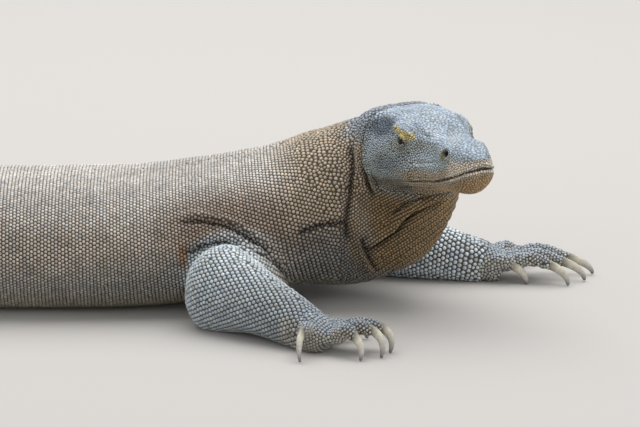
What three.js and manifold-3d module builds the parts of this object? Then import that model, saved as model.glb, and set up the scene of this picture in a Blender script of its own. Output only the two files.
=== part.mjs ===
// Komodo dragon, life size, lying on its belly with its head raised and turned to its right.
// Millimetres, +Z up, +X towards the head. The origin is the middle of the flat of the belly.
import * as THREE from "three";
import { mergeVertices } from "three/addons/utils/BufferGeometryUtils.js";
import Module from "manifold-3d";

const wasm = await Module();
wasm.setup();

// Driving dimensions
const HEAD_LENGTH = 235; // tip of the snout to the ear
const HEAD_YAW = THREE.MathUtils.degToRad(64); // turned to its right
const HEAD_PITCH = THREE.MathUtils.degToRad(3.5);
const HEAD_ROLL = THREE.MathUtils.degToRad(3);
const LIP_FRONT = [519, -220, 212]; // the notch in the middle of the upper lip
const EYE_RADIUS = 9.5;
const EYE_PLACE = [-0.5, 0.172, 0.108]; // in head lengths: back from the lip, out, and up
const CUT = 0.3; // gap between neighbouring pieces
const FLOOR = 0;
const CLAW_CLEAR = 0.6; // lowest point of a claw above the floor

// A body station: the centre of a cross-section and its half sizes, out, up and down.
const TRUNK = [
  { at: [-1780, 95, 7], half: [4.5, 6, 6] },
  { at: [-1560, 30, 15], half: [12, 15, 16] },
  { at: [-1300, -40, 27], half: [21, 27, 29] },
  { at: [-1050, -62, 38], half: [31, 39, 40] },
  { at: [-820, -45, 50], half: [43, 51, 53] },
  { at: [-650, -15, 60], half: [58, 61, 64] },
  { at: [-520, 0, 68], half: [80, 66, 73] },
  { at: [-400, 0, 75], half: [104, 77, 81] },
  { at: [-250, 0, 79], half: [120, 82, 86] },
  { at: [-80, 0, 80], half: [132, 83, 88] },
  { at: [80, 0, 81], half: [131, 84, 88] },
  { at: [190, 0, 89], half: [120, 86, 86] },
  { at: [275, 0, 102], half: [108, 90, 84] },
  { at: [345, 0, 120], half: [94, 96, 104] },
  { at: [398, -8, 147], half: [82, 90, 108] },
  { at: [434, -38, 172], half: [68, 72, 88] },
  { at: [455, -85, 190], half: [46, 50, 60] },
  { at: [466, -125, 200], half: [26, 26, 30] },
];
const TAIL_ENDS = [3, 4.2, 5.35, 6.6]; // stations where one length of tail ends and the next begins
const NECK_START = 12.3;
const NECK_END = TRUNK.length - 1;
const BODY_RINGS = [["tail_4", 8], ["tail_3", 3], ["tail_2", 3], ["tail_1", 3], ["trunk", 13], ["neck", 12]];

// Head sections, from the tip of the snout back, in head lengths: half width, top and bottom.
const HEAD = [
  { back: 0, wide: 0.06, top: 0.06, low: -0.05 },
  { back: 0.05, wide: 0.1, top: 0.094, low: -0.105 },
  { back: 0.14, wide: 0.125, top: 0.122, low: -0.142 },
  { back: 0.3, wide: 0.152, top: 0.155, low: -0.158 },
  { back: 0.46, wide: 0.218, top: 0.212, low: -0.17 },
  { back: 0.62, wide: 0.24, top: 0.23, low: -0.19 },
  { back: 0.8, wide: 0.268, top: 0.23, low: -0.21 },
  { back: 0.95, wide: 0.275, top: 0.222, low: -0.215 },
  { back: 1.08, wide: 0.245, top: 0.185, low: -0.19 },
  { back: 1.18, wide: 0.17, top: 0.12, low: -0.12 },
];
const HEAD_RINGS = 16;
const CROWN_SQUARE = 3.6; // exponent of the head's upper outline: over 2 is boxy
const JAW_SQUARE = 2.1;
const BROW_TAPER = 0.16; // how much narrower the crown is than the jaws

// A leg: the centres and half sizes of the sections of its two lengths, each with round ends.
const RIGHT_ARM = {
  upper: [
    { at: [264, -40, 64], half: [38, 38] },
    { at: [238, -94, 54], half: [42, 43] },
    { at: [210, -140, 52], half: [43, 46] },
  ],
  lower: [
    { at: [207, -158, 50], half: [48, 52, 58] },
    { at: [252, -202, 40], half: [39, 38, 36] },
    { at: [290, -238, 31], half: [30, 29, 32] },
    { at: [312, -259, 25], half: [28, 22, 30] },
  ],
};
const LEFT_ARM = {
  upper: [
    { at: [276, 42, 68], half: [38, 38] },
    { at: [305, 104, 62], half: [44, 46] },
    { at: [348, 138, 56], half: [46, 50] },
  ],
  lower: [
    { at: [355, 138, 53], half: [45, 48] },
    { at: [405, 126, 44], half: [40, 43, 46] },
    { at: [455, 107, 37], half: [33, 37, 39] },
    { at: [500, 96, 31], half: [28, 30, 33] },
    { at: [526, 96, 27], half: [29, 24, 33] },
  ],
};
const HIND_LEG = {
  upper: [
    { at: [-405, -55, 82], half: [60, 56] },
    { at: [-370, -125, 76], half: [66, 62] },
    { at: [-322, -195, 60], half: [54, 55] },
  ],
  lower: [
    { at: [-322, -205, 54], half: [50, 50] },
    { at: [-350, -245, 43], half: [42, 42] },
    { at: [-384, -285, 33], half: [32, 33] },
    { at: [-397, -312, 27], half: [31, 26, 29] },
  ],
};

// Hands and feet: the palm's sections, then each digit as its points from palm to claw.
// A digit ends where its claw begins; the claw's tip is its last entry.
const RIGHT_HAND = {
  palm: [
    { at: [322, -267, 24], half: [30, 19, 30] },
    { at: [333, -273, 23], half: [28, 14, 26] },
    { at: [341, -278, 22], half: [22, 8, 13] },
  ],
  digits: [
    { points: [[326, -250, 20], [346, -231, 22], [362, -222, 19]], tip: [382, -215, 2] },
    { points: [[344, -266, 23], [374, -265, 31], [399, -274, 29]], tip: [409, -286, 2] },
    { points: [[346, -278, 23], [370, -284, 32], [387, -293, 31]], tip: [398, -309, 2] },
    { points: [[344, -290, 22], [357, -301, 32], [366, -308, 27]], tip: [373, -323, 2] },
    { points: [[314, -276, 24], [306, -299, 34], [303, -310, 32]], tip: [301, -330, 2] },
  ],
};
const LEFT_HAND = {
  palm: [
    { at: [543, 98, 24], half: [32, 21, 30] },
    { at: [550, 100, 24], half: [31, 16, 28] },
    { at: [558, 101, 22], half: [24, 9, 14] },
  ],
  digits: [
    { points: [[540, 76, 23], [556, 70, 29], [566, 70, 24]], tip: [585, 64, 2] },
    { points: [[560, 82, 24], [592, 72, 31], [614, 66, 25]], tip: [637, 55, 2] },
    { points: [[566, 100, 25], [602, 94, 31], [631, 88, 24]], tip: [659, 82, 2] },
    { points: [[564, 116, 25], [604, 122, 31], [639, 120, 22]], tip: [671, 117, 2] },
    { points: [[544, 122, 25], [560, 146, 29], [574, 158, 23]], tip: [594, 167, 2] },
  ],
};
const HIND_FOOT = {
  palm: [
    { at: [-378, -325, 26], half: [33, 24, 32] },
    { at: [-360, -331, 25], half: [33, 18, 29] },
    { at: [-344, -336, 23], half: [25, 10, 16] },
  ],
  digits: [
    { points: [[-358, -308, 23], [-336, -292, 27], [-318, -286, 22]], tip: [-298, -283, 2] },
    { points: [[-334, -322, 25], [-302, -310, 32], [-276, -304, 23]], tip: [-250, -300, 2] },
    { points: [[-332, -336, 26], [-292, -332, 33], [-258, -330, 23]], tip: [-229, -329, 2] },
    { points: [[-334, -350, 26], [-296, -358, 33], [-256, -362, 23]], tip: [-227, -365, 2] },
    { points: [[-374, -346, 25], [-352, -372, 28], [-330, -388, 22]], tip: [-310, -400, 2] },
  ],
};
const DIGIT_RADII = [11, 9.8, 7.4]; // at each of a digit's points
const BLUNT = 0.04; // share of the width left at the tip of a dome
const UPPER = { rings: [1, 3, 2] };
const LOWER = { rings: [2, 4, 1], ends: [1, 0.8] };
const PALM = { rings: [2, 2, 1], ends: [0.9, 0.6] };
const DIGIT = { rings: [1, 2, 1], ends: [0.8, 0.5] };
const CLAW_RINGS = 4;
const CLAW_RADIUS = 5.2;
const CLAW_WIDE = 0.85; // half width and half depth, in radii
const CLAW_DEEP = 1.15;
const CLAW_TIP = 0.34; // share of the radius left at the tip
const CLAW_TAPER = 1.6; // exponent of the taper: over 1 thins mostly near the tip
const CLAW_ARCH = 0.42; // rise of the claw's back over its chord
const CLAW_KNEE = 0.42; // where along the chord the claw bends
const CLAW_LIFT = 0.35; // how much of the arch is straight up

const ROUND = 2.15; // exponent of a section's outline: 2 is an ellipse
const TENSION = 0.5; // of the smooth curves through the stations
const STEP = 0.01; // a short way along a path, in stations
const NEAR = 1e-4; // as near as makes no difference, in millimetres or stations
const SIDES = { body: 18, head: 20, leg: 12, digit: 6, claw: 5, eye: 10 };
const EYE_RINGS = 6;

const skin = new THREE.MeshStandardMaterial({ color: 0x6f6c64, roughness: 0.75, metalness: 0 });
const horn = new THREE.MeshStandardMaterial({ color: 0x8f8a7c, roughness: 0.45, metalness: 0 });
const eye = new THREE.MeshStandardMaterial({ color: 0x15110d, roughness: 0.1, metalness: 0 });

const vec = (p) => new THREE.Vector3(...p);

// A smooth curve through the stations' values, read by station number.
function along(values) {
  const curve = new THREE.CatmullRomCurve3(values.map(vec), false, "catmullrom", TENSION);
  const last = values.length - 1;
  return {
    last,
    at: (s) => curve.getPoint(THREE.MathUtils.clamp(s / last, 0, 1)),
    heading: (s) => curve.getTangent(THREE.MathUtils.clamp(s / last, NEAR, 1 - NEAR)),
  };
}

// A closed tube between two stations: a cylinder bent so that place(s, angle, r) gives its points.
function tube(first, last, rings, sides, place) {
  const g = new THREE.CylinderGeometry(1, 1, 1, sides, rings, false);
  const p = g.getAttribute("position");
  const v = new THREE.Vector3();
  for (let i = 0; i < p.count; i += 1) {
    v.fromBufferAttribute(p, i);
    const s = first + (last - first) * (v.y + 0.5);
    const r = Math.hypot(v.x, v.z);
    v.copy(place(s, Math.atan2(v.x, v.z), r));
    p.setXYZ(i, v.x, v.y, Math.max(v.z, FLOOR));
  }
  return solid(g);
}

function solid(geometry) {
  geometry.deleteAttribute("normal");
  geometry.deleteAttribute("uv");
  const g = mergeVertices(geometry, NEAR);
  const build = (index) => new wasm.Manifold(new wasm.Mesh({
    numProp: 3,
    vertProperties: g.getAttribute("position").array,
    triVerts: index,
  }));
  const index = new Uint32Array(g.index.array);
  const made = build(index);
  if (made.volume() > 0) return made;
  for (let i = 0; i < index.length; i += 3) [index[i + 1], index[i + 2]] = [index[i + 2], index[i + 1]];
  return build(index);
}

// Trimming can leave a sliver on the far side of what was cut away: the main body is kept.
function trimmed(made, by) {
  const bodies = made.subtract(by).decompose();
  return bodies.reduce((a, b) => (b.volume() > a.volume() ? b : a));
}

const bulge = (x, square) => Math.sign(x) * Math.abs(x) ** (2 / square);

// Points of a loft round a path whose sections stand square to it and upright.
function loft(stations, grow = 0) {
  const path = along(stations.map((k) => k.at));
  const size = along(stations.map((k) => [k.half[0], k.half[1], k.half[2] ?? k.half[1]]));
  const up = new THREE.Vector3();
  const out = new THREE.Vector3();
  return (s, angle, r) => {
    const heading = path.heading(s);
    const half = size.at(s);
    out.crossVectors(heading, up.set(0, 0, 1)).normalize();
    up.crossVectors(out, heading);
    const rise = Math.cos(angle) > 0 ? half.y : half.z;
    return path.at(s)
      .addScaledVector(out, r * (half.x + grow) * bulge(Math.sin(angle), ROUND))
      .addScaledVector(up, r * (rise + grow) * bulge(Math.cos(angle), ROUND));
  };
}

// Stations per millimetre differ, so a cut's half gap is turned into a part of a station.
function cutAt(stations, s) {
  const path = along(stations.map((k) => k.at));
  return (CUT * STEP) / path.at(s + STEP).distanceTo(path.at(s - STEP));
}

// The head's own frame: x forward, y out to its left, z up, from the front of the lips.
const headFrame = new THREE.Matrix4()
  .makeRotationZ(-HEAD_YAW)
  .multiply(new THREE.Matrix4().makeRotationY(-HEAD_PITCH))
  .multiply(new THREE.Matrix4().makeRotationX(HEAD_ROLL))
  .setPosition(vec(LIP_FRONT));
const inHead = (x, y, z) => new THREE.Vector3(x, y, z).multiplyScalar(HEAD_LENGTH).applyMatrix4(headFrame);

function headLoft(grow = 0) {
  const shape = along(HEAD.map((k) => [k.wide, k.top, k.low]));
  const reach = along(HEAD.map((k) => [k.back, 0, 0]));
  const g = grow / HEAD_LENGTH;
  return (s, angle, r) => {
    const { x: wide, y: top, z: low } = shape.at(s);
    const side = Math.sin(angle);
    const rise = Math.cos(angle);
    const centre = (top + low) / 2;
    const half = (top - low) / 2 + g;
    const square = rise > 0 ? CROWN_SQUARE : JAW_SQUARE;
    const z = half * bulge(rise, square);
    const narrow = 1 - BROW_TAPER * (z / half);
    const end = s < STEP ? g : s > HEAD.length - 1 - STEP ? -g : 0;
    return inHead(end - reach.at(s).x, r * (wide + g) * narrow * bulge(side, square), centre + r * z);
  };
}

// Body
const bodyTube = (from, to, rings, grow = 0) =>
  tube(from, to, rings, SIDES.body, loft(TRUNK, grow));
const headTube = (grow = 0) => tube(0, HEAD.length - 1, HEAD_RINGS, SIDES.head, headLoft(grow));

const pieces = new Map();
const bodyCuts = [0, ...TAIL_ENDS, NECK_START, NECK_END];
const bodyLengths = BODY_RINGS.map(([name, rings], i) => {
  const [from, to] = [bodyCuts[i], bodyCuts[i + 1]];
  const gap = (s, grow) => (s > 0 && s < NECK_END ? (grow ? -1 : 1) * cutAt(TRUNK, s) : 0);
  const make = (grow) => bodyTube(from + gap(from, grow), to - gap(to, grow), rings, grow);
  return { name, make };
});
for (const { name, make } of bodyLengths) {
  pieces.set(name, [name === "neck" ? trimmed(make(0), headTube(CUT)) : make(0), skin]);
}

const eyeBall = (side, grow) => {
  const centre = inHead(EYE_PLACE[0], side * EYE_PLACE[1], EYE_PLACE[2]);
  const g = new THREE.SphereGeometry(EYE_RADIUS + grow, SIDES.eye, EYE_RINGS);
  return solid(g.translate(centre.x, centre.y, centre.z));
};
let head = headTube();
for (const [name, side] of [["right", -1], ["left", 1]]) {
  head = head.subtract(eyeBall(side, CUT));
  pieces.set("eye_" + name, [eyeBall(side, 0), eye]);
}
pieces.set("head", [head, skin]);

// A length of leg, palm or digit: a loft with a dome at each end. ends says how far each dome
// reaches, in half widths, and rings how many rings the first dome, the length and the last have.
function roundTube(stations, sides, { rings, ends = [1, 1] }, grow = 0) {
  const body = loft(stations, grow);
  const path = along(stations.map((k) => k.at));
  const dome = (k, turn, angle, r) => {
    const end = stations.at(k ? -1 : 0);
    const reach = (end.half[0] + grow) * ends[k] * Math.cos(turn);
    const s = k ? path.last : 0;
    return body(s, angle, r * Math.max(Math.sin(turn), BLUNT))
      .addScaledVector(path.heading(s), k ? reach : -reach);
  };
  const total = rings[0] + rings[1] + rings[2];
  return tube(0, 1, total, sides, (u, angle, r) => {
    const ring = u * total;
    const left = total - ring;
    if (ring < rings[0]) return dome(0, (ring / rings[0]) * (Math.PI / 2), angle, r);
    if (left < rings[2]) return dome(1, (left / rings[2]) * (Math.PI / 2), angle, r);
    return body(((ring - rings[0]) / rings[1]) * path.last, angle, r);
  });
}

// Each piece of a leg is trimmed by the body and by the pieces above it.
const bodyAround = bodyLengths.slice(-3).reduce((all, { make }) => all.add(make(CUT)), headTube(CUT));

function addLeg(name, leg, foot) {
  let above = bodyAround;
  for (const [part, ends] of [["upper", UPPER], ["lower", LOWER]]) {
    pieces.set(name + "_" + part, [trimmed(roundTube(leg[part], SIDES.leg, ends), above), skin]);
    above = above.add(roundTube(leg[part], SIDES.leg, ends, CUT));
  }
  const digits = foot.digits.map(({ points }) =>
    points.map((at, k) => ({ at, half: [DIGIT_RADII[k], DIGIT_RADII[k]] })));
  const wholeHand = (grow) => digits.reduce(
    (hand, digit) => hand.add(roundTube(digit, SIDES.digit, DIGIT, grow)),
    roundTube(foot.palm, SIDES.leg, PALM, grow),
  );
  pieces.set(name + "_foot", [trimmed(wholeHand(0), above), skin]);
  let bed = wholeHand(CUT);
  foot.digits.forEach(({ points, tip }, i) => {
    pieces.set("claw_" + name + "_" + (i + 1), [trimmed(clawTube(points, tip), bed), horn]);
    bed = bed.add(clawTube(points, tip));
  });
}

// A claw leaves the digit's end in its direction and bends down to its tip.
function clawTube(points, tip) {
  const start = vec(points.at(-1));
  const lead = start.clone().sub(vec(points.at(-2))).normalize();
  const point = vec(tip);
  const chord = point.distanceTo(start);
  const knee = start.clone().lerp(point, CLAW_KNEE).addScaledVector(lead, CLAW_ARCH * chord);
  knee.z += CLAW_LIFT * CLAW_ARCH * chord;
  const path = new THREE.QuadraticBezierCurve3(start, knee, point);
  const across = new THREE.Vector3(0, 0, 1).cross(lead).normalize();
  const rise = new THREE.Vector3();
  return tube(0, 1, CLAW_RINGS, SIDES.claw, (s, angle, r) => {
    rise.crossVectors(path.getTangent(s), across).normalize();
    const radius = r * CLAW_RADIUS * (1 - (1 - CLAW_TIP) * s ** CLAW_TAPER);
    const p = path.getPoint(s)
      .addScaledVector(across, CLAW_WIDE * radius * Math.sin(angle))
      .addScaledVector(rise, CLAW_DEEP * radius * Math.cos(angle));
    p.z = Math.max(p.z, CLAW_CLEAR);
    return p;
  });
}

const mirrored = (p) => [p[0], -p[1], p[2]];
const mirrorStations = (list) => list.map((k) => ({ ...k, at: mirrored(k.at) }));
const mirrorFoot = (foot) => ({
  palm: mirrorStations(foot.palm),
  digits: foot.digits.map((d) => ({ points: d.points.map(mirrored), tip: mirrored(d.tip) })),
});
addLeg("fore_right", RIGHT_ARM, RIGHT_HAND);
addLeg("fore_left", LEFT_ARM, LEFT_HAND);
addLeg("hind_right", HIND_LEG, HIND_FOOT);
const hindLeft = { upper: mirrorStations(HIND_LEG.upper), lower: mirrorStations(HIND_LEG.lower) };
addLeg("hind_left", hindLeft, mirrorFoot(HIND_FOOT));

const dragon = new THREE.Group();
for (const [name, [made, material]] of pieces) {
  const m = made.getMesh();
  const g = new THREE.BufferGeometry();
  g.setAttribute("position", new THREE.BufferAttribute(new Float32Array(m.vertProperties), 3));
  g.setIndex(new THREE.BufferAttribute(new Uint32Array(m.triVerts), 1));
  g.computeVertexNormals();
  const mesh = new THREE.Mesh(g, material);
  mesh.name = name;
  dragon.add(mesh);
}

export default dragon;
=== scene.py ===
"""A life-size Komodo dragon at rest: one skin under a coat of scales, with claws and eyes.

Shapes are worked out in millimetres, +Z up and +X towards the head, and become metres in mesh_piece.
"""

import math

import bpy
import numpy as np
from mathutils.bvhtree import BVHTree
from mathutils.kdtree import KDTree
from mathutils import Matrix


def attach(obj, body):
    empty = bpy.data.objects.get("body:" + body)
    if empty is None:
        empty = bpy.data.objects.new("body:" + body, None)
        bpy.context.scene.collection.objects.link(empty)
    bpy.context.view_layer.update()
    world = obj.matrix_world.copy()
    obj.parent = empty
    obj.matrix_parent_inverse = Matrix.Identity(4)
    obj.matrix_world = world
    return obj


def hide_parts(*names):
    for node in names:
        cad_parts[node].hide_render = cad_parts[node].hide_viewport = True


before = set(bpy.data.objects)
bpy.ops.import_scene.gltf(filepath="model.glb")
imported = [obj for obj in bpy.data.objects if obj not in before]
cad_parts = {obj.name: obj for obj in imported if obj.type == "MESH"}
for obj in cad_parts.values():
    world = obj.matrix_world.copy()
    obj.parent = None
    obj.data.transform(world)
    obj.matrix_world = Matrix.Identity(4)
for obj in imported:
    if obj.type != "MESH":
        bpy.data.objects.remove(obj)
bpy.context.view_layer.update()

MM = 0.001
TINY = 1e-9
UP = np.array([0.0, 0.0, 1.0])
FULL_TURN = 2 * math.pi
BOTH_SIDES = (-1, 1)  # the right side and the left
ROUND = 2.15  # exponent of a section's outline: 2 is an ellipse
BLUNT = 0.04  # share of the width left at the tip of a dome
DOME_STEPS = 8
STEPS_A_ROW = 10  # steps along a smooth path from one of its rows to the next
VOXEL = 2.8  # size of the skin's working grid
SKIN_TRIANGLES = 190000
SKIN_FLOOR = 0.9  # heights of the lowest skin, scales and claws above the floor
SCALE_FLOOR = 0.15
CLAW_FLOOR = 0.3
COAT_DEPTH = 1.3

# Sections of the body from the tip of the tail: centre x, y, z, then half sizes out, up and down.
BODY = np.array([
    [-1780, 95, 7, 4.5, 6, 6],
    [-1560, 30, 15, 12, 15, 16],
    [-1300, -40, 27, 21, 27, 29],
    [-1050, -62, 38, 31, 39, 40],
    [-820, -45, 50, 43, 51, 53],
    [-650, -15, 60, 58, 61, 64],
    [-520, 0, 68, 80, 66, 73],
    [-400, 0, 75, 104, 77, 81],
    [-250, 0, 79, 120, 82, 86],
    [-80, 0, 80, 132, 83, 88],
    [80, 0, 81, 131, 84, 88],
    [190, 0, 89, 120, 86, 86],
    [275, 0, 102, 108, 90, 84],
    [345, 0, 120, 94, 96, 104],
    [398, -8, 147, 82, 90, 108],
    [434, -38, 172, 68, 72, 88],
    [455, -85, 190, 46, 50, 60],
    [466, -125, 200, 26, 26, 30],
], float)

HEAD_LENGTH = 235.0
HEAD_TURN = (-64.0, -3.5, 3.0)  # degrees about z, y and x
LIP_FRONT = np.array([519.0, -220.0, 212.0])
# Sections of the head from the snout back, in head lengths: back, half width, top and bottom.
HEAD = np.array([
    [0, 0.06, 0.06, -0.05],
    [0.05, 0.1, 0.094, -0.105],
    [0.14, 0.125, 0.122, -0.142],
    [0.3, 0.152, 0.155, -0.158],
    [0.46, 0.218, 0.212, -0.17],
    [0.62, 0.24, 0.23, -0.19],
    [0.8, 0.268, 0.23, -0.21],
    [0.95, 0.275, 0.222, -0.215],
    [1.08, 0.245, 0.185, -0.19],
    [1.18, 0.17, 0.12, -0.12],
])
CROWN_SQUARE = 3.6
JAW_SQUARE = 2.1
BROW_TAPER = 0.16
SNOUT_DOME = 3.0

# Legs: sections of the upper and lower length, then of the palm, as for the body.
LEGS = {
    "fore_right": {
        "upper": [[264, -40, 64, 38, 38, 38], [238, -94, 54, 42, 43, 43], [210, -140, 52, 43, 46, 46]],
        "lower": [[207, -158, 50, 48, 52, 58], [252, -202, 40, 39, 38, 36],
                  [290, -238, 31, 30, 29, 32], [312, -259, 25, 28, 22, 30]],
        "palm": [[322, -267, 24, 30, 19, 30], [333, -273, 23, 28, 14, 26], [341, -278, 22, 22, 8, 13]],
        "digits": [
            [[326, -250, 20], [346, -231, 22], [362, -222, 19], [382, -215, 2]],
            [[344, -266, 23], [374, -265, 31], [399, -274, 29], [409, -286, 2]],
            [[346, -278, 23], [370, -284, 32], [387, -293, 31], [398, -309, 2]],
            [[344, -290, 22], [357, -301, 32], [366, -308, 27], [373, -323, 2]],
            [[314, -276, 24], [306, -299, 34], [303, -310, 32], [301, -330, 2]],
        ],
    },
    "fore_left": {
        "upper": [[276, 42, 68, 38, 38, 38], [305, 104, 62, 44, 46, 46], [348, 138, 56, 46, 50, 50]],
        "lower": [[355, 138, 53, 45, 48, 48], [405, 126, 44, 40, 43, 46], [455, 107, 37, 33, 37, 39],
                  [500, 96, 31, 28, 30, 33], [526, 96, 27, 29, 24, 33]],
        "palm": [[543, 98, 24, 32, 21, 30], [550, 100, 24, 31, 16, 28], [558, 101, 22, 24, 9, 14]],
        "digits": [
            [[540, 76, 23], [556, 70, 29], [566, 70, 24], [585, 64, 2]],
            [[560, 82, 24], [592, 72, 31], [614, 66, 25], [637, 55, 2]],
            [[566, 100, 25], [602, 94, 31], [631, 88, 24], [659, 82, 2]],
            [[564, 116, 25], [604, 122, 31], [639, 120, 22], [671, 117, 2]],
            [[544, 122, 25], [560, 146, 29], [574, 158, 23], [594, 167, 2]],
        ],
    },
    "hind_right": {
        "upper": [[-405, -55, 82, 60, 56, 56], [-370, -125, 76, 66, 62, 62], [-322, -195, 60, 54, 55, 55]],
        "lower": [[-322, -205, 54, 50, 50, 50], [-350, -245, 43, 42, 42, 42],
                  [-384, -285, 33, 32, 33, 33], [-397, -312, 27, 31, 26, 29]],
        "palm": [[-378, -325, 26, 33, 24, 32], [-360, -331, 25, 33, 18, 29], [-344, -336, 23, 25, 10, 16]],
        "digits": [
            [[-358, -308, 23], [-336, -292, 27], [-318, -286, 22], [-298, -283, 2]],
            [[-334, -322, 25], [-302, -310, 32], [-276, -304, 23], [-250, -300, 2]],
            [[-332, -336, 26], [-292, -332, 33], [-258, -330, 23], [-229, -329, 2]],
            [[-334, -350, 26], [-296, -358, 33], [-256, -362, 23], [-227, -365, 2]],
            [[-374, -346, 25], [-352, -372, 28], [-330, -388, 22], [-310, -400, 2]],
        ],
    },
}
LEGS["hind_left"] = {
    part: [[[k[0], -k[1]] + k[2:] for k in row] if part == "digits" else [row[0], -row[1]] + row[2:]
           for row in rows]
    for part, rows in LEGS["hind_right"].items()
}
LOWER_DOMES = (1.0, 0.8)  # how far the ends of each part dome out, as shares of its width there
PALM_DOMES = (0.9, 0.6)
DIGIT_DOMES = (0.8, 0.5)
DIGIT_RADII = (11.0, 9.8, 7.4)
CLAW_RADIUS = 5.2
CLAW_ARCH = 0.42
CLAW_LIFT = 0.35  # how much of the arch is straight up
CLAW_KNEE = 0.42  # where the arch is highest, along the claw
CLAW_TIP = 0.34  # share of the claw's radius left at its tip
CLAW_TAPER = 1.6
CLAW_WIDE = 0.85  # width and depth of a claw's section, and how much deeper it is above
CLAW_DEEP = 1.15
CLAW_KEEL = 0.1
CLAW_ROOT = 0.12  # share of its length that a claw starts inside its digit
CLAW_CAP = 1.2
CLAW_RINGS, CLAW_SIDES = 18, 14

EYE_PLACE = np.array([-0.5, 0.172, 0.108])
EYE_RADIUS = 9.4
EYE_RINGS, EYE_SIDES = 38, 48
CORNEA_HEIGHT, CORNEA_WIDTH = 0.035, 0.42
LID_RADIUS = 10.7


def unit(v):
    """Directions made one long."""
    return v / np.maximum(np.linalg.norm(v, axis=-1, keepdims=True), TINY)


def flipped(side):
    """What places on the left are multiplied by to lie on a side: 1 is the left and -1 the right."""
    return np.array([1.0, side, 1.0])


def ease(x, low, high):
    """0 below low and 1 above high, with a smooth step between."""
    t = np.clip((x - low) / (high - low), 0, 1)
    return t * t * (3 - 2 * t)


WAVES = 7
WAVE_LENGTHS = (0.7, 1.6)
WAVE_SUM = 3.2


def ripple(place, scale, seed):
    """A slow, soft variation between -1 and 1 over the animal."""
    mix = np.random.default_rng(seed)
    total = np.zeros(len(place))
    for _ in range(WAVES):
        way = unit(mix.normal(size=3)) * FULL_TURN / (scale * mix.uniform(*WAVE_LENGTHS))
        total += np.sin(place @ way + mix.uniform(0, 7))
    return np.clip(total / WAVE_SUM, -1, 1)


def spline(rows, s):
    """Values and slopes, at station numbers s, of the smooth curve through the rows."""
    ends = np.vstack([2 * rows[0] - rows[1], rows, 2 * rows[-1] - rows[-2]])
    i = np.clip(np.floor(s), 0, len(rows) - 2).astype(int)
    t = (s - i)[..., None]
    a, b, c, d = (ends[i + k] for k in range(4))
    bend = 2 * a - 5 * b + 4 * c - d
    turn = 3 * (b - c) + d - a
    value = b + 0.5 * t * ((c - a) + t * (bend + t * turn))
    slope = 0.5 * ((c - a) + t * (2 * bend + 3 * t * turn))
    return value, slope


def along_path(path, steps):
    """Evenly numbered steps along the smooth curve through a path's rows."""
    rows = np.array(path, float)
    return spline(rows, np.linspace(0, len(rows) - 1, steps))[0]


def bulge(x, square):
    """A sine or cosine drawn out towards a square corner; a square of 2 leaves it round."""
    return np.sign(x) * np.abs(x) ** (2 / square)


def turn_about(axis, degrees):
    """The matrix of a turn about one axis."""
    c, s = math.cos(math.radians(degrees)), math.sin(math.radians(degrees))
    return np.array({
        "x": [[1, 0, 0], [0, c, -s], [0, s, c]],
        "y": [[c, 0, s], [0, 1, 0], [-s, 0, c]],
        "z": [[c, -s, 0], [s, c, 0], [0, 0, 1]],
    }[axis])


HEAD_AXES = turn_about("z", HEAD_TURN[0]) @ turn_about("y", HEAD_TURN[1]) @ turn_about("x", HEAD_TURN[2])


def from_head(p):
    """Places given in head lengths: forward from the lips, out to the left, and up."""
    return np.asarray(p, float) * HEAD_LENGTH @ HEAD_AXES.T + LIP_FRONT


def to_head(p):
    """Undoes from_head."""
    return (p - LIP_FRONT) @ HEAD_AXES / HEAD_LENGTH


def to_half_head(p):
    """Places in head lengths, with the right side of the head laid over the left."""
    h = to_head(p)
    return np.column_stack([h[:, 0], np.abs(h[:, 1]), h[:, 2]])


def from_spot(h, spot):
    """Distance in millimetres of places on the head from a spot on it."""
    return np.linalg.norm((h - spot) * HEAD_LENGTH, axis=1)


class Tube:
    """A length of the animal: sections square to a path, closed by a dome at each end."""

    def __init__(self, rows, ends=(1.0, 1.0)):
        self.rows = np.asarray(rows, float)
        last = len(self.rows) - 1
        turn = np.linspace(0, math.pi / 2, DOME_STEPS, endpoint=False)
        reach = np.maximum(np.sin(turn), BLUNT)
        push = np.cos(turn)
        run = np.linspace(0, last, STEPS_A_ROW * last + 1)
        self.profile = np.vstack([
            np.column_stack([0 * turn, reach, -self.dome(0, ends[0]) * push]),
            np.column_stack([run, 1 + 0 * run, 0 * run]),
            np.column_stack([0 * turn + last, reach, self.dome(-1, ends[1]) * push])[::-1],
        ])

    def dome(self, row, share):
        return self.rows[row, 3] * share

    def at(self, u, angle):
        """Places on the surface: u runs from 0 to 1 along it, and angle from its top to its right."""
        k = u * (len(self.profile) - 1)
        s, reach, push = (np.interp(k, np.arange(len(self.profile)), column) for column in self.profile.T)
        return self.section(s, angle, reach, push)

    def section(self, s, angle, reach=1.0, push=0.0):
        s, angle, reach, push = np.broadcast_arrays(s, angle, reach, push)
        value, slope = spline(self.rows, s)
        heading = unit(slope[..., :3])
        out = unit(np.cross(heading, UP))
        up = np.cross(out, heading)
        rise = np.cos(angle)
        tall = np.where(rise > 0, value[..., 4], value[..., 5])
        side = reach * value[..., 3] * bulge(np.sin(angle), ROUND)
        lift = reach * tall * bulge(rise, ROUND)
        place = value[..., :3] + heading * push[..., None] + out * side[..., None] + up * lift[..., None]
        place[..., 2] = np.maximum(place[..., 2], 0)
        return place


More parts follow.
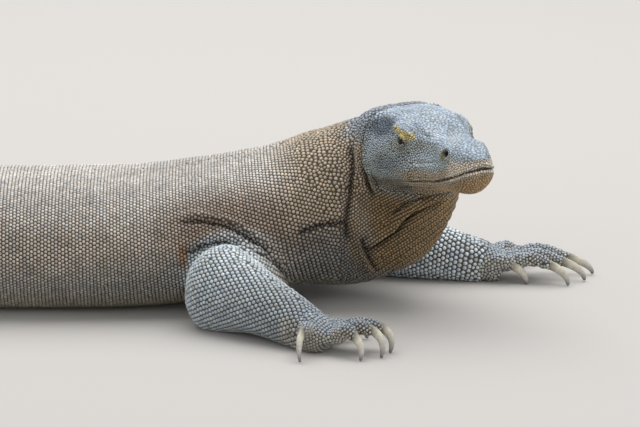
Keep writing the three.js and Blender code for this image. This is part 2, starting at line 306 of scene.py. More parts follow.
class HeadTube(Tube):
    """The head: its sections stand square to its own axes, with a flat crown and round jaws."""

    def dome(self, row, share):
        return SNOUT_DOME * share / HEAD_LENGTH

    def section(self, s, angle, reach=1.0, push=0.0):
        s, angle, reach, push = np.broadcast_arrays(s, angle, reach, push)
        value = spline(self.rows, s)[0]
        back, wide, top, low = (value[..., k] for k in range(4))
        rise = np.cos(angle)
        half = (top - low) / 2
        z = half * np.where(rise > 0, bulge(rise, CROWN_SQUARE), bulge(rise, JAW_SQUARE))
        square = np.where(rise > 0, CROWN_SQUARE, JAW_SQUARE)
        narrow = 1 - BROW_TAPER * z / half
        out = -reach * wide * narrow * bulge(np.sin(angle), square)
        return from_head(np.stack([-back - push, out, (top + low) / 2 + reach * z], -1))


body_tube = Tube(BODY)
head_tube = HeadTube(HEAD)
limb_tubes = {}
for leg, parts in LEGS.items():
    limb_tubes[leg + "_upper"] = Tube(parts["upper"])
    limb_tubes[leg + "_lower"] = Tube(parts["lower"], LOWER_DOMES)
    limb_tubes[leg + "_palm"] = Tube(parts["palm"], PALM_DOMES)
    for number, points in enumerate(parts["digits"], 1):
        rows = [[*p, r, r, r] for p, r in zip(points[:3], DIGIT_RADII)]
        limb_tubes[f"{leg}_digit_{number}"] = Tube(rows, DIGIT_DOMES)


def mesh_piece(name, place, faces, colours=None, values=None, chart=None):
    """A mesh object from places in millimetres, with its colours and values at each vertex."""
    mesh = bpy.data.meshes.new(name)
    sides = faces.shape[1]
    mesh.vertices.add(len(place))
    mesh.vertices.foreach_set("co", (place * MM).astype(np.float32).ravel())
    mesh.loops.add(faces.size)
    mesh.loops.foreach_set("vertex_index", faces.astype(np.int32).ravel())
    mesh.polygons.add(len(faces))
    mesh.polygons.foreach_set("loop_start", np.arange(0, faces.size, sides, dtype=np.int32))
    mesh.update(calc_edges=True)
    mesh.polygons.foreach_set("use_smooth", np.ones(len(faces), bool))
    for key, colour in (colours or {}).items():
        layer = mesh.attributes.new(key, "FLOAT_COLOR", "POINT")
        opaque = np.column_stack([colour, np.ones(len(colour))])
        layer.data.foreach_set("color", opaque.astype(np.float32).ravel())
    for key, value in (values or {}).items():
        layer = mesh.attributes.new(key, "FLOAT", "POINT")
        layer.data.foreach_set("value", value.astype(np.float32))
    if chart is not None:
        layer = mesh.uv_layers.new(name="OFBake")
        layer.data.foreach_set("uv", chart[faces.ravel()].astype(np.float32).ravel())
    piece = bpy.data.objects.new(name, mesh)
    bpy.context.scene.collection.objects.link(piece)
    return piece


def ring_faces(rings, sides):
    """Triangles over a grid of rings, closed by a fan to one more vertex at each end."""
    i, j = np.meshgrid(np.arange(rings - 1), np.arange(sides), indexing="ij")
    a, b = i * sides + j, i * sides + (j + 1) % sides
    c, d = b + sides, a + sides
    around = np.arange(sides)
    after = (around + 1) % sides
    far = (rings - 1) * sides
    return np.vstack([
        np.stack([a, b, c], -1).reshape(-1, 3),
        np.stack([a, c, d], -1).reshape(-1, 3),
        np.column_stack([np.full(sides, rings * sides), after, around]),
        np.column_stack([np.full(sides, rings * sides + 1), far + around, far + after]),
    ])


def closed_grid(tube, rings, sides):
    """Vertices and triangles of a tube with both of its ends closed."""
    u = np.linspace(0, 1, rings)[:, None]
    angle = np.linspace(0, FULL_TURN, sides, endpoint=False)[None]
    grid = tube.at(u, angle)
    return np.vstack([grid.reshape(-1, 3), grid[0].mean(0), grid[-1].mean(0)]), ring_faces(rings, sides)


def evaluated(piece):
    """Vertices in millimetres and faces of a piece with its modifiers applied; the piece is removed."""
    made = piece.evaluated_get(bpy.context.evaluated_depsgraph_get()).to_mesh()
    place = np.empty(len(made.vertices) * 3, np.float32)
    made.vertices.foreach_get("co", place)
    corners = np.empty(len(made.loops), np.int32)
    made.loops.foreach_get("vertex_index", corners)
    sides = len(made.loops) // len(made.polygons)
    mesh = piece.data
    bpy.data.objects.remove(piece)
    bpy.data.meshes.remove(mesh)
    return place.reshape(-1, 3).astype(float) / MM, corners.reshape(-1, sides)


# The head and the hands are swollen while the working grid is laid, so that they get finer cells.
SWELLINGS = (
    (from_head([-0.45, 0, 0]), 150.0, 1.0),
    (np.array([348.0, -275, 22]), 60.0, 0.5),
    (np.array([590.0, 100, 22]), 75.0, 0.5),
)
UNSWELL_STEPS = 12
# Rings along a part and sides round it, before the working grid is laid.
BODY_GRID = (520, 128)
HEAD_GRID = (150, 128)
LIMB_GRID = (60, 64)
DIGIT_GRID = (40, 28)


def swell(place):
    """Pushes places apart round each centre, the more the nearer they are."""
    for centre, radius, extra in SWELLINGS:
        d = place - centre
        r = np.linalg.norm(d, axis=1, keepdims=True) + TINY
        place = place + d / r * extra * radius * np.tanh(r / radius)
    return place


def unswell(place):
    """Undoes swell, by Newton's rule on the distance from each centre."""
    for centre, radius, extra in reversed(SWELLINGS):
        d = place - centre
        far = np.linalg.norm(d, axis=1, keepdims=True) + TINY
        r = far / (1 + extra)
        for _ in range(UNSWELL_STEPS):
            t = np.tanh(r / radius)
            r = np.maximum(r - (r + extra * radius * t - far) / (1 + extra * (1 - t * t)), 0)
        place = centre + d / far * r
    return place


class Surface:
    """The skin while it is being worked: vertices, four-sided faces and the edges between them."""

    def __init__(self, place, faces):
        self.place = place
        self.faces = faces
        pairs = np.vstack([faces[:, [k, (k + 1) % 4]] for k in range(4)])
        pairs.sort(axis=1)
        keys = np.unique(pairs[:, 0].astype(np.int64) * len(place) + pairs[:, 1])
        self.a, self.b = keys // len(place), keys % len(place)
        self.degree = np.bincount(self.a, minlength=len(place)) + np.bincount(self.b, minlength=len(place))

    def average(self, values):
        """Mean of each vertex's neighbours."""
        count = len(self.place)
        columns = [
            np.bincount(self.a, v[self.b], count) + np.bincount(self.b, v[self.a], count)
            for v in values.T
        ]
        return np.column_stack(columns) / self.degree[:, None]

    def normals(self):
        f = self.place[self.faces]
        facing = np.cross(f[:, 2] - f[:, 0], f[:, 3] - f[:, 1])
        count = len(self.place)
        total = np.column_stack([
            sum(np.bincount(self.faces[:, k], facing[:, axis], count) for k in range(4))
            for axis in range(3)
        ])
        return unit(total)

    def smooth(self, times, share=0.5):
        for _ in range(times):
            self.place += share * (self.average(self.place) - self.place)

    def fill_hollows(self, times, share):
        """Rounds inward corners and leaves outward ones, as flesh does where a leg meets the body."""
        for step in range(times):
            if step % 4 == 0:
                facing = self.normals()
            rise = ((self.average(self.place) - self.place) * facing).sum(1)
            self.place += facing * (share * np.maximum(rise, 0))[:, None]


def rough_skin():
    """One closed surface round the body, the head and the legs."""
    grids = [closed_grid(body_tube, *BODY_GRID), closed_grid(head_tube, *HEAD_GRID)]
    for name, tube in limb_tubes.items():
        grids.append(closed_grid(tube, *(DIGIT_GRID if "digit" in name else LIMB_GRID)))
    starts = np.cumsum([0] + [len(place) for place, _ in grids])
    place = swell(np.vstack([place for place, _ in grids]))
    faces = np.vstack([faces + start for (_, faces), start in zip(grids, starts)])
    rough = mesh_piece("rough", place, faces)
    grid = rough.modifiers.new("grid", "REMESH")
    grid.mode = "VOXEL"
    grid.voxel_size = VOXEL * MM
    place, faces = evaluated(rough)
    return Surface(unswell(place), faces)


def close_by(place, line, reach):
    """The places in the box round a line, and their square distances from each of its points."""
    near = np.nonzero(((place > line.min(0) - reach) & (place < line.max(0) + reach)).all(1))[0]
    p = place[near]
    return near, (p * p).sum(1)[:, None] + (line * line).sum(1)[None] - 2 * p @ line.T


def lay_line(place, path):
    """The places nearest to a fine line along a smooth path, as indices."""
    line = along_path(path, STEPS_A_ROW * len(path))
    near, square = close_by(place, line, LINE_BOX)
    return near[square.argmin(0)]


def line_over(place, index):
    """The line through the indexed places, a little smoothed."""
    line = place[index]
    for _ in range(2):
        line[1:-1] = (line[:-2] + 2 * line[1:-1] + line[2:]) / 4
    return line


def near_line(place, line, reach):
    """The points within reach of a line, their distance from it, their place along it from 0 to 1,
    and the way from it to them."""
    near, square = close_by(place, line, reach)
    nearest = square.argmin(1)
    away = place[near] - line[nearest]
    distance = np.linalg.norm(away, axis=1)
    close = distance < reach
    return near[close], distance[close], nearest[close] / (len(line) - 1), away[close]


LINE_BOX = 15.0
shaded_creases = []  # lines on the skin darkened with painted shade, as indices, width and how much
lip_lines = []
# A furrow: how wide the painted shade along it is, how far it and its roll reach, and where its roll lies and
# how wide it is, all in widths of the furrow. Its ends fade over a share of its length.
SHADE_WIDTH = 1.3
FURROW_REACH = 4.5
ROLL_REACH = 4.2
ROLL_PLACE, ROLL_WIDTH = 1.7, 1.1
FURROW_FADE = 0.2


def furrow(surface, facing, path, width, depth, roll=0.0, toward=None, shade=0.0):
    """Sinks a furrow along a path, with a roll of skin beside it on the side it points toward. Its shade is
    painted shade along it, or a painted highlight where it is negative.
    """
    index = lay_line(surface.place, path)
    if shade:
        shaded_creases.append((index, SHADE_WIDTH * width, shade))
    line = line_over(surface.place, index)
    near, distance, along, away = near_line(surface.place, line, FURROW_REACH * width)
    ends = ease(np.minimum(along, 1 - along), 0, FURROW_FADE)
    lift = -depth * np.exp(-(distance / width) ** 2)
    if toward is not None:
        side = (away @ unit(np.asarray(toward, float))) / width
        beside = np.exp(-((side - ROLL_PLACE) / ROLL_WIDTH) ** 2) * (distance < ROLL_REACH * width)
        lift = lift + roll * beside
    surface.place[near] += facing[near] * (ends * lift)[:, None]


MOUTH = [[-0.026, -0.084, -0.012], [0.004, -0.03, 0.0], [0.006, 0, 0.004], [0.004, 0.03, 0.0],
         [-0.026, 0.084, -0.012], [-0.117, 0.122, -0.044], [-0.258, 0.136, -0.082], [-0.353, 0.158, -0.09],
         [-0.496, 0.196, -0.1], [-0.6, 0.212, -0.112]]
MOUTH_MIDDLE = 2  # the row of MOUTH at the front of the lips
LIPS = MOUTH[:8]  # where the lips part
LIP_RIDGE = [[-0.42, 0.195, 0.008], [-0.378, 0.182, 0.009], [-0.287, 0.147, 0.016], [-0.173, 0.124, 0.028]]
BROW = [[-0.62, 0.19, 0.165], [-0.545, 0.182, 0.174], [-0.47, 0.174, 0.16], [-0.4, 0.163, 0.13]]
CANTHUS = [[-0.5, 0.13, 0.2], [-0.44, 0.135, 0.19], [-0.393, 0.128, 0.162], [-0.328, 0.116, 0.138]]
NAPE_CREASE = [[-0.86, 0.12, 0.235], [-0.85, 0.16, 0.22], [-0.828, 0.214, 0.173], [-0.834, 0.245, 0.116],
               [-0.829, 0.265, 0.033], [-0.826, 0.272, -0.048], [-0.8, 0.268, -0.136],
               [-0.777, 0.258, -0.191], [-0.76, 0.24, -0.24]]
NOSTRIL = np.array([-0.166, 0.112, 0.076])
NOSTRIL_WAY = unit(np.array([0.35, 0.9, 0.25]))
NOSTRIL_LENGTH = 12.0
NOSTRIL_REACH = 14.0
PIT_DEPTH, PIT_RADIUS = 7.0, 3.9
PIT_RIM, PIT_RIM_RADIUS, PIT_RIM_WIDTH = 1.5, 6.6, 2.0
LORE = [[-0.41, 0.17, 0.085], [-0.32, 0.15, 0.075], [-0.23, 0.13, 0.06]]
TEMPLE = [[-0.8, 0.2, 0.2], [-0.7, 0.2, 0.18], [-0.6, 0.2, 0.15]]
JAW_LINE = [[-0.7, 0.2, -0.175], [-0.5, 0.15, -0.155], [-0.3, 0.1, -0.14]]
# Furrows of the head: path, width, depth, then the height of the roll beside it and the side it lies on, and
# how much painted shade darkens the furrow. A furrow of negative depth is a ridge.
HEAD_FURROWS = (
    (NAPE_CREASE, 3.2, 7.0, 3.0, (1, 0.4, 0), 0.75),
    (LIPS, 1.4, 1.4, 0.0, None, 0.85),
    (MOUTH, 1.6, 2.6, 1.2, (0, 0, 1), 0.0),
    (LIP_RIDGE, 2.6, 1.2, 1.2, (0, 0, -1), 0.0),
    (BROW, 5.0, -2.8, 0.0, None, 0.0),
    (CANTHUS, 2.2, 1.3, 0.8, (0, 0, 1), 0.25),
    (LORE, 9.0, 2.4, 0.0, None, 0.0),
    (TEMPLE, 9.0, 2.2, 0.0, None, 0.0),
    (JAW_LINE, 4.0, 1.5, 1.0, (0, 0, 1), 0.3),
)
# Soft forms of the head: place, radius and height in millimetres.
HEAD_FORMS = (
    ((-0.72, 0.26, -0.03), 30, 3.5),
    ((-0.17, 0.11, 0.09), 13, 2.2),
    ((-0.5, 0.18, 0.19), 16, 2.0),
    ((-0.36, 0.0, 0.2), 30, -3.0),
    ((-0.62, 0.0, 0.24), 34, 1.5),
    ((-0.1, 0.03, -0.13), 14, 2.0),
)
# Folds of loose skin on the right side, in the same terms but with their paths in millimetres.
RIGHT_FOLDS = (
    ([[146, -113, 116], [156, -111, 120], [172, -109, 121], [186, -109, 120], [200, -110, 118],
      [213, -110, 114], [224, -111, 109], [235, -110, 103], [245, -111, 95], [256, -114, 87],
      [265, -114, 78], [274, -109, 66], [283, -87, 44], [286, -80, 34]], 3.6, 5.0, 2.6, (0.2, 0, 1), 0.5),
    ([[158, -121, 78], [164, -119, 86], [173, -117, 88], [183, -116, 93], [195, -115, 96], [206, -116, 97],
      [217, -123, 96], [228, -140, 95], [240, -152, 88], [254, -150, 76], [268, -124, 60]],
     4.0, 5.0, 2.4, (0.3, 0.3, 1), 0.6),
    ([[216, -118, 101], [228, -127, 101], [240, -132, 96], [254, -128, 86], [268, -116, 70], [278, -100, 52]],
     2.8, 3.4, 1.8, (0.3, 0.3, 1), 0.5),
    ([[481, -100, 146], [472, -109, 143], [457, -109, 137], [444, -108, 130], [432, -96, 118],
      [420, -85, 104], [410, -83, 96], [401, -84, 88], [392, -83, 82], [382, -85, 78], [372, -87, 76]],
     4.0, 5.5, 4.5, (-0.3, 0, 1), 0.65),
    # A painted highlight along the throat's roll, given as negative shade, over a low ridge.
    ([[474, -107, 151], [457, -109, 144], [444, -110, 138], [432, -96, 126], [420, -85, 112], [401, -84, 96],
      [382, -85, 86]], 4.0, -1.5, 0.0, None, -0.35),
    ([[482, -92, 166], [468, -104, 162], [452, -105, 156], [436, -98, 146], [424, -90, 134], [412, -86, 122]],
     2.8, 3.0, 1.2, (-0.3, 0, 1), 0.45),
    ([[374, -84, 100], [377, -82, 90], [380, -79, 80], [385, -72, 66], [391, -61, 54], [398, -54, 44]],
     3.6, 4.5, 4.0, (-1, 0, -0.2), 0.5),
    ([[296, -102, 104], [302, -101, 107], [313, -97, 110], [325, -95, 113], [339, -92, 115], [351, -90, 116],
      [358, -89, 118]], 3.2, 4.6, 2.2, (0, 0, -1), 0.65),
    ([[362, -50, 214], [363, -55, 200], [366, -65, 183], [364, -72, 166], [362, -80, 149], [359, -87, 131],
      [357, -89, 113], [358, -89, 99], [360, -86, 86]], 4.2, 6.2, 3.0, (1, 0, 0), 0.72),
)
# Softer folds where the other legs join, the same on both sides unless they say otherwise.
SIDE_FOLDS = (
    (BOTH_SIDES, [[-290, -124, 88], [-318, -120, 108], [-352, -112, 120], [-395, -103, 124],
                  [-440, -95, 112], [-470, -90, 96]], 4.5, 3.6, 2.0, (0, 0, 1), 0.35),
    ((1,), [[226, -112, 92], [250, -107, 108], [282, -100, 116], [318, -92, 116], [350, -86, 108]],
     4.2, 4.0, 2.2, (0, 0, 1), 0.4),
    ((1,), [[356, -52, 210], [362, -62, 185], [364, -74, 160], [362, -82, 134], [362, -84, 110]],
     4.2, 3.5, 2.0, (1, 0, 0), 0.4),
)
EYE_OPENING = (7.6, 4.5)
EYE_REACH = 22.0  # how far round an eye the lids are worked
LID_SLOPE = 0.25  # how much of the face's own rise is left beside an eye
LID_SKEW = 0.35  # how much lower the opening is towards the front
EYE_SINK = 2.5  # how far the skin passes behind the front of the eye
SOCKET_DEPTH, SOCKET_RADIUS, SOCKET_WIDTH = 1.6, 9.8, 2.0
EYE_WAYS = ((0.12, 0.97, 0.14), (1.0, -0.1, -0.32))  # out of the left eye and along its lids

HOLLOW_TIMES = 26
HOLLOW_SHARE = 0.6
HAND_SHARE = 0.5  # how much less the hollows between the digits are filled
HAND_NEAR, HAND_FAR = 26.0, 50.0
FORM_REACH = 3.0


def shape_half_head(surface, facing, flip):
    """The furrows and forms of one side of the head."""
    for path, width, depth, roll, toward, shade in HEAD_FURROWS:
        way = None if toward is None else (np.array(toward) * flip) @ HEAD_AXES.T
        line = from_head(np.array(path) * flip)
        if path is LIPS:
            lip_lines.append(lay_line(surface.place, line))
        furrow(surface, facing, line, width, depth, roll, way, shade)
    for spot, radius, height in HEAD_FORMS:
        distance = np.linalg.norm(surface.place - from_head(np.array(spot) * flip), axis=1)
        near = distance < FORM_REACH * radius
        lift = height * np.exp(-(distance[near] / radius) ** 2)
        surface.place[near] += facing[near] * lift[:, None]


def shape_skin(surface):
    """Folds, lips, lids and nostrils, over a skin drawn in by the depth of its coat."""
    surface.smooth(3)
    hands = np.zeros(len(surface.place))
    for parts in LEGS.values():
        for points in parts["digits"]:
            away = np.linalg.norm(surface.place - np.array(points[1], float), axis=1)
            hands = np.maximum(hands, 1 - ease(away, HAND_NEAR, HAND_FAR))
    surface.fill_hollows(HOLLOW_TIMES, HOLLOW_SHARE - HAND_SHARE * hands)
    surface.smooth(2)
    facing = surface.normals()
    surface.place -= facing * COAT_DEPTH
    for side in BOTH_SIDES:
        shape_half_head(surface, facing, flipped(side))
    for path, width, depth, roll, toward, shade in RIGHT_FOLDS:
        furrow(surface, facing, path, width, depth, roll, toward, shade)
    for sides, path, width, depth, roll, toward, shade in SIDE_FOLDS:
        for side in sides:
            flip = flipped(-side)
            furrow(surface, facing, np.array(path) * flip, width, depth, roll, np.array(toward) * flip, shade)
    pleats(surface, facing)
    shape_eyes(surface)
    shape_nostrils(surface, facing)
    surface.place[:, 2] = np.maximum(surface.place[:, 2], SKIN_FLOOR)


THROAT_START = 352.0
THROAT_BACK, THROAT_TOP = -1.0, -0.2  # in head lengths
THROAT_FLOOR = 30.0
PLEAT_HEIGHT = 0.6
PLEAT_SPAN, PLEAT_FALL = (360, 392), (0.17, 0.27)
SWEEP_WANDER, SWEEP_RIPPLE = 1.5, (70, 21)
CALM_RISE, CALM_SPAN = (8, 40), (370, 410)  # where the body's slow swells end, low down and ahead
BODY_SWELLS = ((1.8, 120, 8), (0.4, 30, 9))  # height, then a ripple's length and seed
THROAT_ROW = 4.6  # from one row of scales to the next
THROAT_SCALE = 3.5
THROAT_SLANT = (-0.72, 0.0, 1.0)  # across the rows


def throat_sweep(place):
    """Grows up and back over the throat: its pleats and its rows of scales run level in it."""
    return place @ np.array(THROAT_SLANT) + SWEEP_WANDER * ripple(place, *SWEEP_RIPPLE)


def is_throat(place):
    """Whether each place lies on the throat."""
    h = to_head(place)
    ahead = (place[:, 0] > THROAT_START) & (h[:, 0] > THROAT_BACK)
    return ahead & (h[:, 2] < THROAT_TOP) & (place[:, 2] > THROAT_FLOOR)


def pleats(surface, facing):
    """Fine pleats across the throat, and slow dips and swells over the whole body."""
    x, _, z = surface.place.T
    h = to_head(surface.place)
    throat = ease(x, *PLEAT_SPAN) * ease(-h[:, 2], *PLEAT_FALL)
    lift = throat * PLEAT_HEIGHT * np.cos(throat_sweep(surface.place) * math.pi / THROAT_ROW)
    calm = ease(z, *CALM_RISE) * (1 - ease(x, *CALM_SPAN))
    lift += calm * sum(height * ripple(surface.place, *wave) for height, *wave in BODY_SWELLS)
    surface.place += facing * lift[:, None]


def eye_axes(side):
    """Centre of an eye and its own axes: along the lids, up across them, and out."""
    centre = from_head(EYE_PLACE * flipped(side))
    out, along = (unit(np.array(way) * flipped(side)) for way in EYE_WAYS)
    along = unit(along - out * (along @ out))
    across = np.cross(out, along) * side
    return centre, (along @ HEAD_AXES.T, across @ HEAD_AXES.T, out @ HEAD_AXES.T)


def shape_eyes(surface):
    """Lids that lie on a ball round each eye, open over it, with a shallow socket around them."""
    for side in BOTH_SIDES:
        centre, (along, across, out) = eye_axes(side)
        away = surface.place - centre
        distance = np.linalg.norm(away, axis=1)
        near = (distance < EYE_REACH) & (away @ out > 0)
        p = away[near]
        r = distance[near]
        x, y = p @ along / r * LID_RADIUS, p @ across / r * LID_RADIUS
        skew = 1 + LID_SKEW * x / EYE_OPENING[0]
        opening = (x / EYE_OPENING[0]) ** 2 + (y / EYE_OPENING[1]) ** 2 * skew
        lid = np.maximum(r, LID_RADIUS + LID_SLOPE * np.maximum(r - LID_RADIUS, 0))
        socket = SOCKET_DEPTH * np.exp(-((np.hypot(x, y) - SOCKET_RADIUS) / SOCKET_WIDTH) ** 2)
        lid = lid - np.where(r > LID_RADIUS, socket, 0)
        reach = np.where(opening < 1, EYE_RADIUS - EYE_SINK, lid)
        surface.place[near] = centre + p / r[:, None] * reach[:, None]


def shape_nostrils(surface, facing):
    """Sinks a pit on either side of the snout."""
    for side in BOTH_SIDES:
        centre = from_head(NOSTRIL * flipped(side))
        distance = np.linalg.norm(surface.place - centre, axis=1)
        rim = PIT_RIM * np.exp(-((distance - PIT_RIM_RADIUS) / PIT_RIM_WIDTH) ** 2)
        pit = rim - PIT_DEPTH * np.exp(-(distance / PIT_RADIUS) ** 4)
        near = distance < NOSTRIL_REACH
        surface.place[near] += facing[near] * pit[near, None]


surface = rough_skin()
shape_skin(surface)
skin_facing = surface.normals()
skin_tree = BVHTree.FromPolygons(surface.place.tolist(), surface.faces.tolist())


def facing_of(faces):
    """The way that the middle of each of the skin's faces faces."""
    return unit(skin_facing[surface.faces[faces]].mean(1))


# The coat. A kind of scale: its height and mid-height radius as shares of its size, how round it
# is, how much of its cell it fills, how high the shoulder of its dome stands, and how slim it is
# across its row.
KINDS = {
    "bead": (0.30, 0.82, 0.62, 0.92, 0.74, 1),
    "neck": (0.32, 0.82, 0.66, 0.90, 0.78, 1),
    "oval": (0.28, 0.84, 0.50, 0.94, 0.80, 1),
    "grain": (0.22, 0.82, 0.45, 0.93, 0.78, 1),
    "pleat": (0.26, 0.82, 0.30, 0.94, 0.80, 0.76),
    "plate": (0.15, 0.86, 0.15, 0.95, 0.86, 1),
    "crown": (0.11, 0.88, 0.20, 0.97, 0.84, 1),
    "lip": (0.16, 0.86, 0.20, 0.93, 0.84, 1),
    "scute": (0.16, 0.86, 0.10, 0.96, 0.86, 1),
    "tile": (0.09, 0.90, 0.06, 0.97, 0.90, 1),
}
KIND_NAMES = list(KINDS)
SIDES = 7
SCALES_A_PIECE = 9000
HEAD_CHART_LENGTH = 1.1  # head lengths on the chart of the head's scales
rng = np.random.default_rng(11)


class Coat:
    """Every scale of the coat: where it sits, its size, its kind and its place on its piece's chart."""

    def __init__(self):
        self.parts = []

    def add(self, region, kind, place, along, gap, chart, loose=6.0, rank=0.0):
        """Drops the scales that don't land on the skin and puts the others down on it."""
        found = [skin_tree.find_nearest(p, loose * 2) for p in place.tolist()]
        shift = np.array([math.inf if f[0] is None else f[3] for f in found])
        kept = shift < loose
        if not kept.any():
            return
        landed = np.array([found[i][0][:] for i in np.nonzero(kept)[0]])
        faces = np.array([found[i][2] for i in np.nonzero(kept)[0]])
        count = len(landed)
        self.parts.append({
            "place": landed,
            "facing": facing_of(faces),
            "along": np.broadcast_to(along, place.shape)[kept],
            "gap": np.broadcast_to(gap, len(place))[kept].astype(float),
            "chart": chart[kept],
            "rank": np.full(count, rank) + shift[kept],
            "kind": np.full(count, KIND_NAMES.index(kind)),
            "region": np.full(count, region, dtype=object),
        })

    def gathered(self):
        return {key: np.concatenate([part[key] for part in self.parts]) for key in self.parts[0]}


RING_STEPS = 240
TUBE_STEPS = 600
RING_ENDS = 0.2  # room left where the rows meet above and below, in scales
COARSE_FALL = (0.55, 0.9)  # how far down a section its scales grow coarser


def rings_of_scales(tube, gap, step, coarse_below=0.0):
    """Rings of scales, each half a scale out of step with the last and counted up and down from
    the middle of either side, so that the rows run on from ring to ring."""
    fine = np.linspace(0, 1, TUBE_STEPS)
    angle = np.linspace(0, FULL_TURN, RING_STEPS + 1)
    quarter, half, three = RING_STEPS // 4, RING_STEPS // 2, 3 * RING_STEPS // 4
    grid = tube.at(fine[:, None], angle[None, [quarter, three]])
    stride = np.linalg.norm(np.diff(grid, axis=0), axis=2).mean(1)
    size = gap(fine)
    count = np.concatenate([[0], np.cumsum(stride / (step * (size[1:] + size[:-1]) / 2))])
    ring_u = np.interp(np.arange(0.5, count[-1]), count, fine)
    wide = 1 + coarse_below * ease(-np.cos(angle), *COARSE_FALL)
    all_u, all_angle, all_gap = [], [], []
    for ring, u in enumerate(ring_u):
        g = float(np.interp(u, fine, size))
        section = tube.at(np.full(angle.shape, u), angle)
        lengths = np.linalg.norm(np.diff(section, axis=0), axis=1)
        arc = np.concatenate([[0], np.cumsum(lengths / (g * (wide[1:] + wide[:-1]) / 2))])
        offset = 0.5 * (ring % 2)
        for middle, low, high in ((arc[quarter], 0, arc[half]), (arc[three], arc[half], arc[-1])):
            steps = np.arange(math.ceil(low - middle - offset), math.floor(high - middle - offset) + 1)
            place = middle + offset + steps
            place = place[(place > low + RING_ENDS) & (place < high - RING_ENDS)]
            a = np.interp(place, arc, angle)
            all_u.append(np.full(len(a), u))
            all_angle.append(a)
            all_gap.append(g * np.sqrt(np.interp(a, angle, wide)))
    return tuple(np.concatenate(x) for x in (all_u, all_angle, all_gap))


STRAY = 0.05  # how far scales stray from their rows, in scales
SHORT_WAY = 0.002
CHART_EDGE = 0.03
BELOW = -0.8  # cosine of the angle from the top past which a tube's underside starts


def clothe_tube(coat, region, kind, tube, gap, step, coarse_below=0.0, below=None, cell=(0, 1), loose=6.0):
    """Scales all over a tube. cell is its column of the chart and the number of columns."""
    u, angle, size = rings_of_scales(tube, gap, step, coarse_below)
    place = tube.at(u, angle)
    place += rng.normal(0, STRAY, place.shape) * size[:, None]
    ahead = tube.at(np.minimum(u + SHORT_WAY, 1), angle)
    along = unit(ahead - tube.at(np.maximum(u - SHORT_WAY, 0), angle))
    column, columns = cell
    across = CHART_EDGE + (1 - 2 * CHART_EDGE) * angle / FULL_TURN
    chart = np.column_stack([(column + across) / columns, u])
    under = np.cos(angle) < BELOW if below else np.zeros(len(u), bool)
    for name, chosen in ((kind, ~under), (below, under)):
        if name and chosen.any():
            coat.add(region, name, place[chosen], along[chosen], size[chosen], chart[chosen], loose)


def steady(value):
    """A size that is the same all along a tube."""
    return lambda u: np.full(np.shape(u), float(value))


def by_station(tube, stations, values):
    """A size that changes along a tube, from its values at station numbers."""
    def size(u):
        s = np.interp(u * (len(tube.profile) - 1), np.arange(len(tube.profile)), tube.profile[:, 0])
        return np.interp(s, stations, values)
    return size


# The sizes of the head's scales: on its sides, then how much larger on the crown and behind the
# head, and how much smaller on the cheeks.
SIDE_SIZE = 3.1
CROWN_GROWTH = 1.7
NAPE_GROWTH = 1.4
CHEEK_SHRINKING = 0.4
# Round an eye and a nostril: where the fine scales end, where they are finest, their size there
# and how fast it grows.
FINE_SCALES = (
    (EYE_PLACE, 26.0, 10.0, 2.1, 0.11),
    (NOSTRIL, 14.0, 5.0, 2.3, 0.12),
)
ROW_STEPS = 400
LID_ROWS = ((1.16, 1.7), (1.5, 2.0), (1.9, 2.3))  # each row's size in eye openings, and its scales'
LID_ROUND = 5.2  # mean half width of the eye's opening
LID_TALL = 0.1
SHELL_STEPS = 240
HEAD_BACK, HEAD_FRONT, HEAD_OUT, HEAD_HIGH = -1.25, 0.1, 0.32, 0.3  # a box round the head
HEAD_LOOSE = 5.0  # how far the head's rough shape lies from the places that are its own
NAPE_LINE = -0.85
CROWN_FACING = 0.45
VARIETY = (0.86, 1.14)
HEAD_CROWDING = 0.92  # least distances between scales, as shares of their sizes
COAT_CROWDING = 0.7
FILL_CROWDING = 0.93
WIDEST_PAIR = 1.6  # the largest ratio of neighbours' sizes
# The lowest rank wins a crowded place: the lids', the throat's, the rows', then the head's own.
LID_RANK, THROAT_RANK, LIP_RANK, BROW_RANK, HEAD_RANK = -60.0, -55.0, -50.0, -45.0, -20.0
LEADING = -40.0  # ranks below this lead the others
FILL_RANK = 90.0
# Rows of scales that lead the rest: path, size, kind, shift off the path in millimetres and rank.
LEADING_ROWS = (
    (MOUTH[MOUTH_MIDDLE:], 3.4, "lip", (0, 0.8, 3.5), LIP_RANK),
    (MOUTH[MOUTH_MIDDLE:], 3.4, "lip", (0, 0.4, -3.5), LIP_RANK),
    (BROW, 3.8, "plate", (0, 0, 0), BROW_RANK),
)


def head_size(h, facing):
    """The size of the scales at a place on the head, given in head lengths for its left side."""
    up = facing @ HEAD_AXES[:, 2]
    back = -h[:, 0]
    size = SIDE_SIZE + CROWN_GROWTH * ease(up, 0.35, 0.8) + NAPE_GROWTH * ease(back, 0.82, 0.92)
    size = size - CHEEK_SHRINKING * ease(back, 0.5, 0.7) * (1 - ease(up, 0.3, 0.7))
    for spot, end, start, finest, growth in FINE_SCALES:
        away = from_spot(h, spot)
        size = np.where(away < end, np.minimum(size, finest + growth * np.maximum(away - start, 0)), size)
    return size


def head_chart(place):
    """An unwrap of the head: round it and along it."""
    h = to_head(place)
    turn = np.arctan2(h[:, 1], h[:, 2]) / FULL_TURN + 0.5
    return np.column_stack([turn, np.clip(-h[:, 0] / HEAD_CHART_LENGTH, 0, 1)])


def lay_row(coat, path, gap, kind, shift, rank):
    """A row of scales along a path on either side of the head."""
    for side in BOTH_SIDES:
        line = from_head(along_path(path, ROW_STEPS) * flipped(side))
        line = line + (np.array(shift) * flipped(side)) @ HEAD_AXES.T
        travel = np.concatenate([[0], np.cumsum(np.linalg.norm(np.diff(line, axis=0), axis=1))])
        spots = np.linspace(0, travel[-1], max(2, round(travel[-1] / gap)))
        place = np.column_stack([np.interp(spots, travel, line[:, k]) for k in range(3)])
        coat.add("head", kind, place, unit(np.gradient(place, axis=0)), gap, head_chart(place), 5.0, rank)


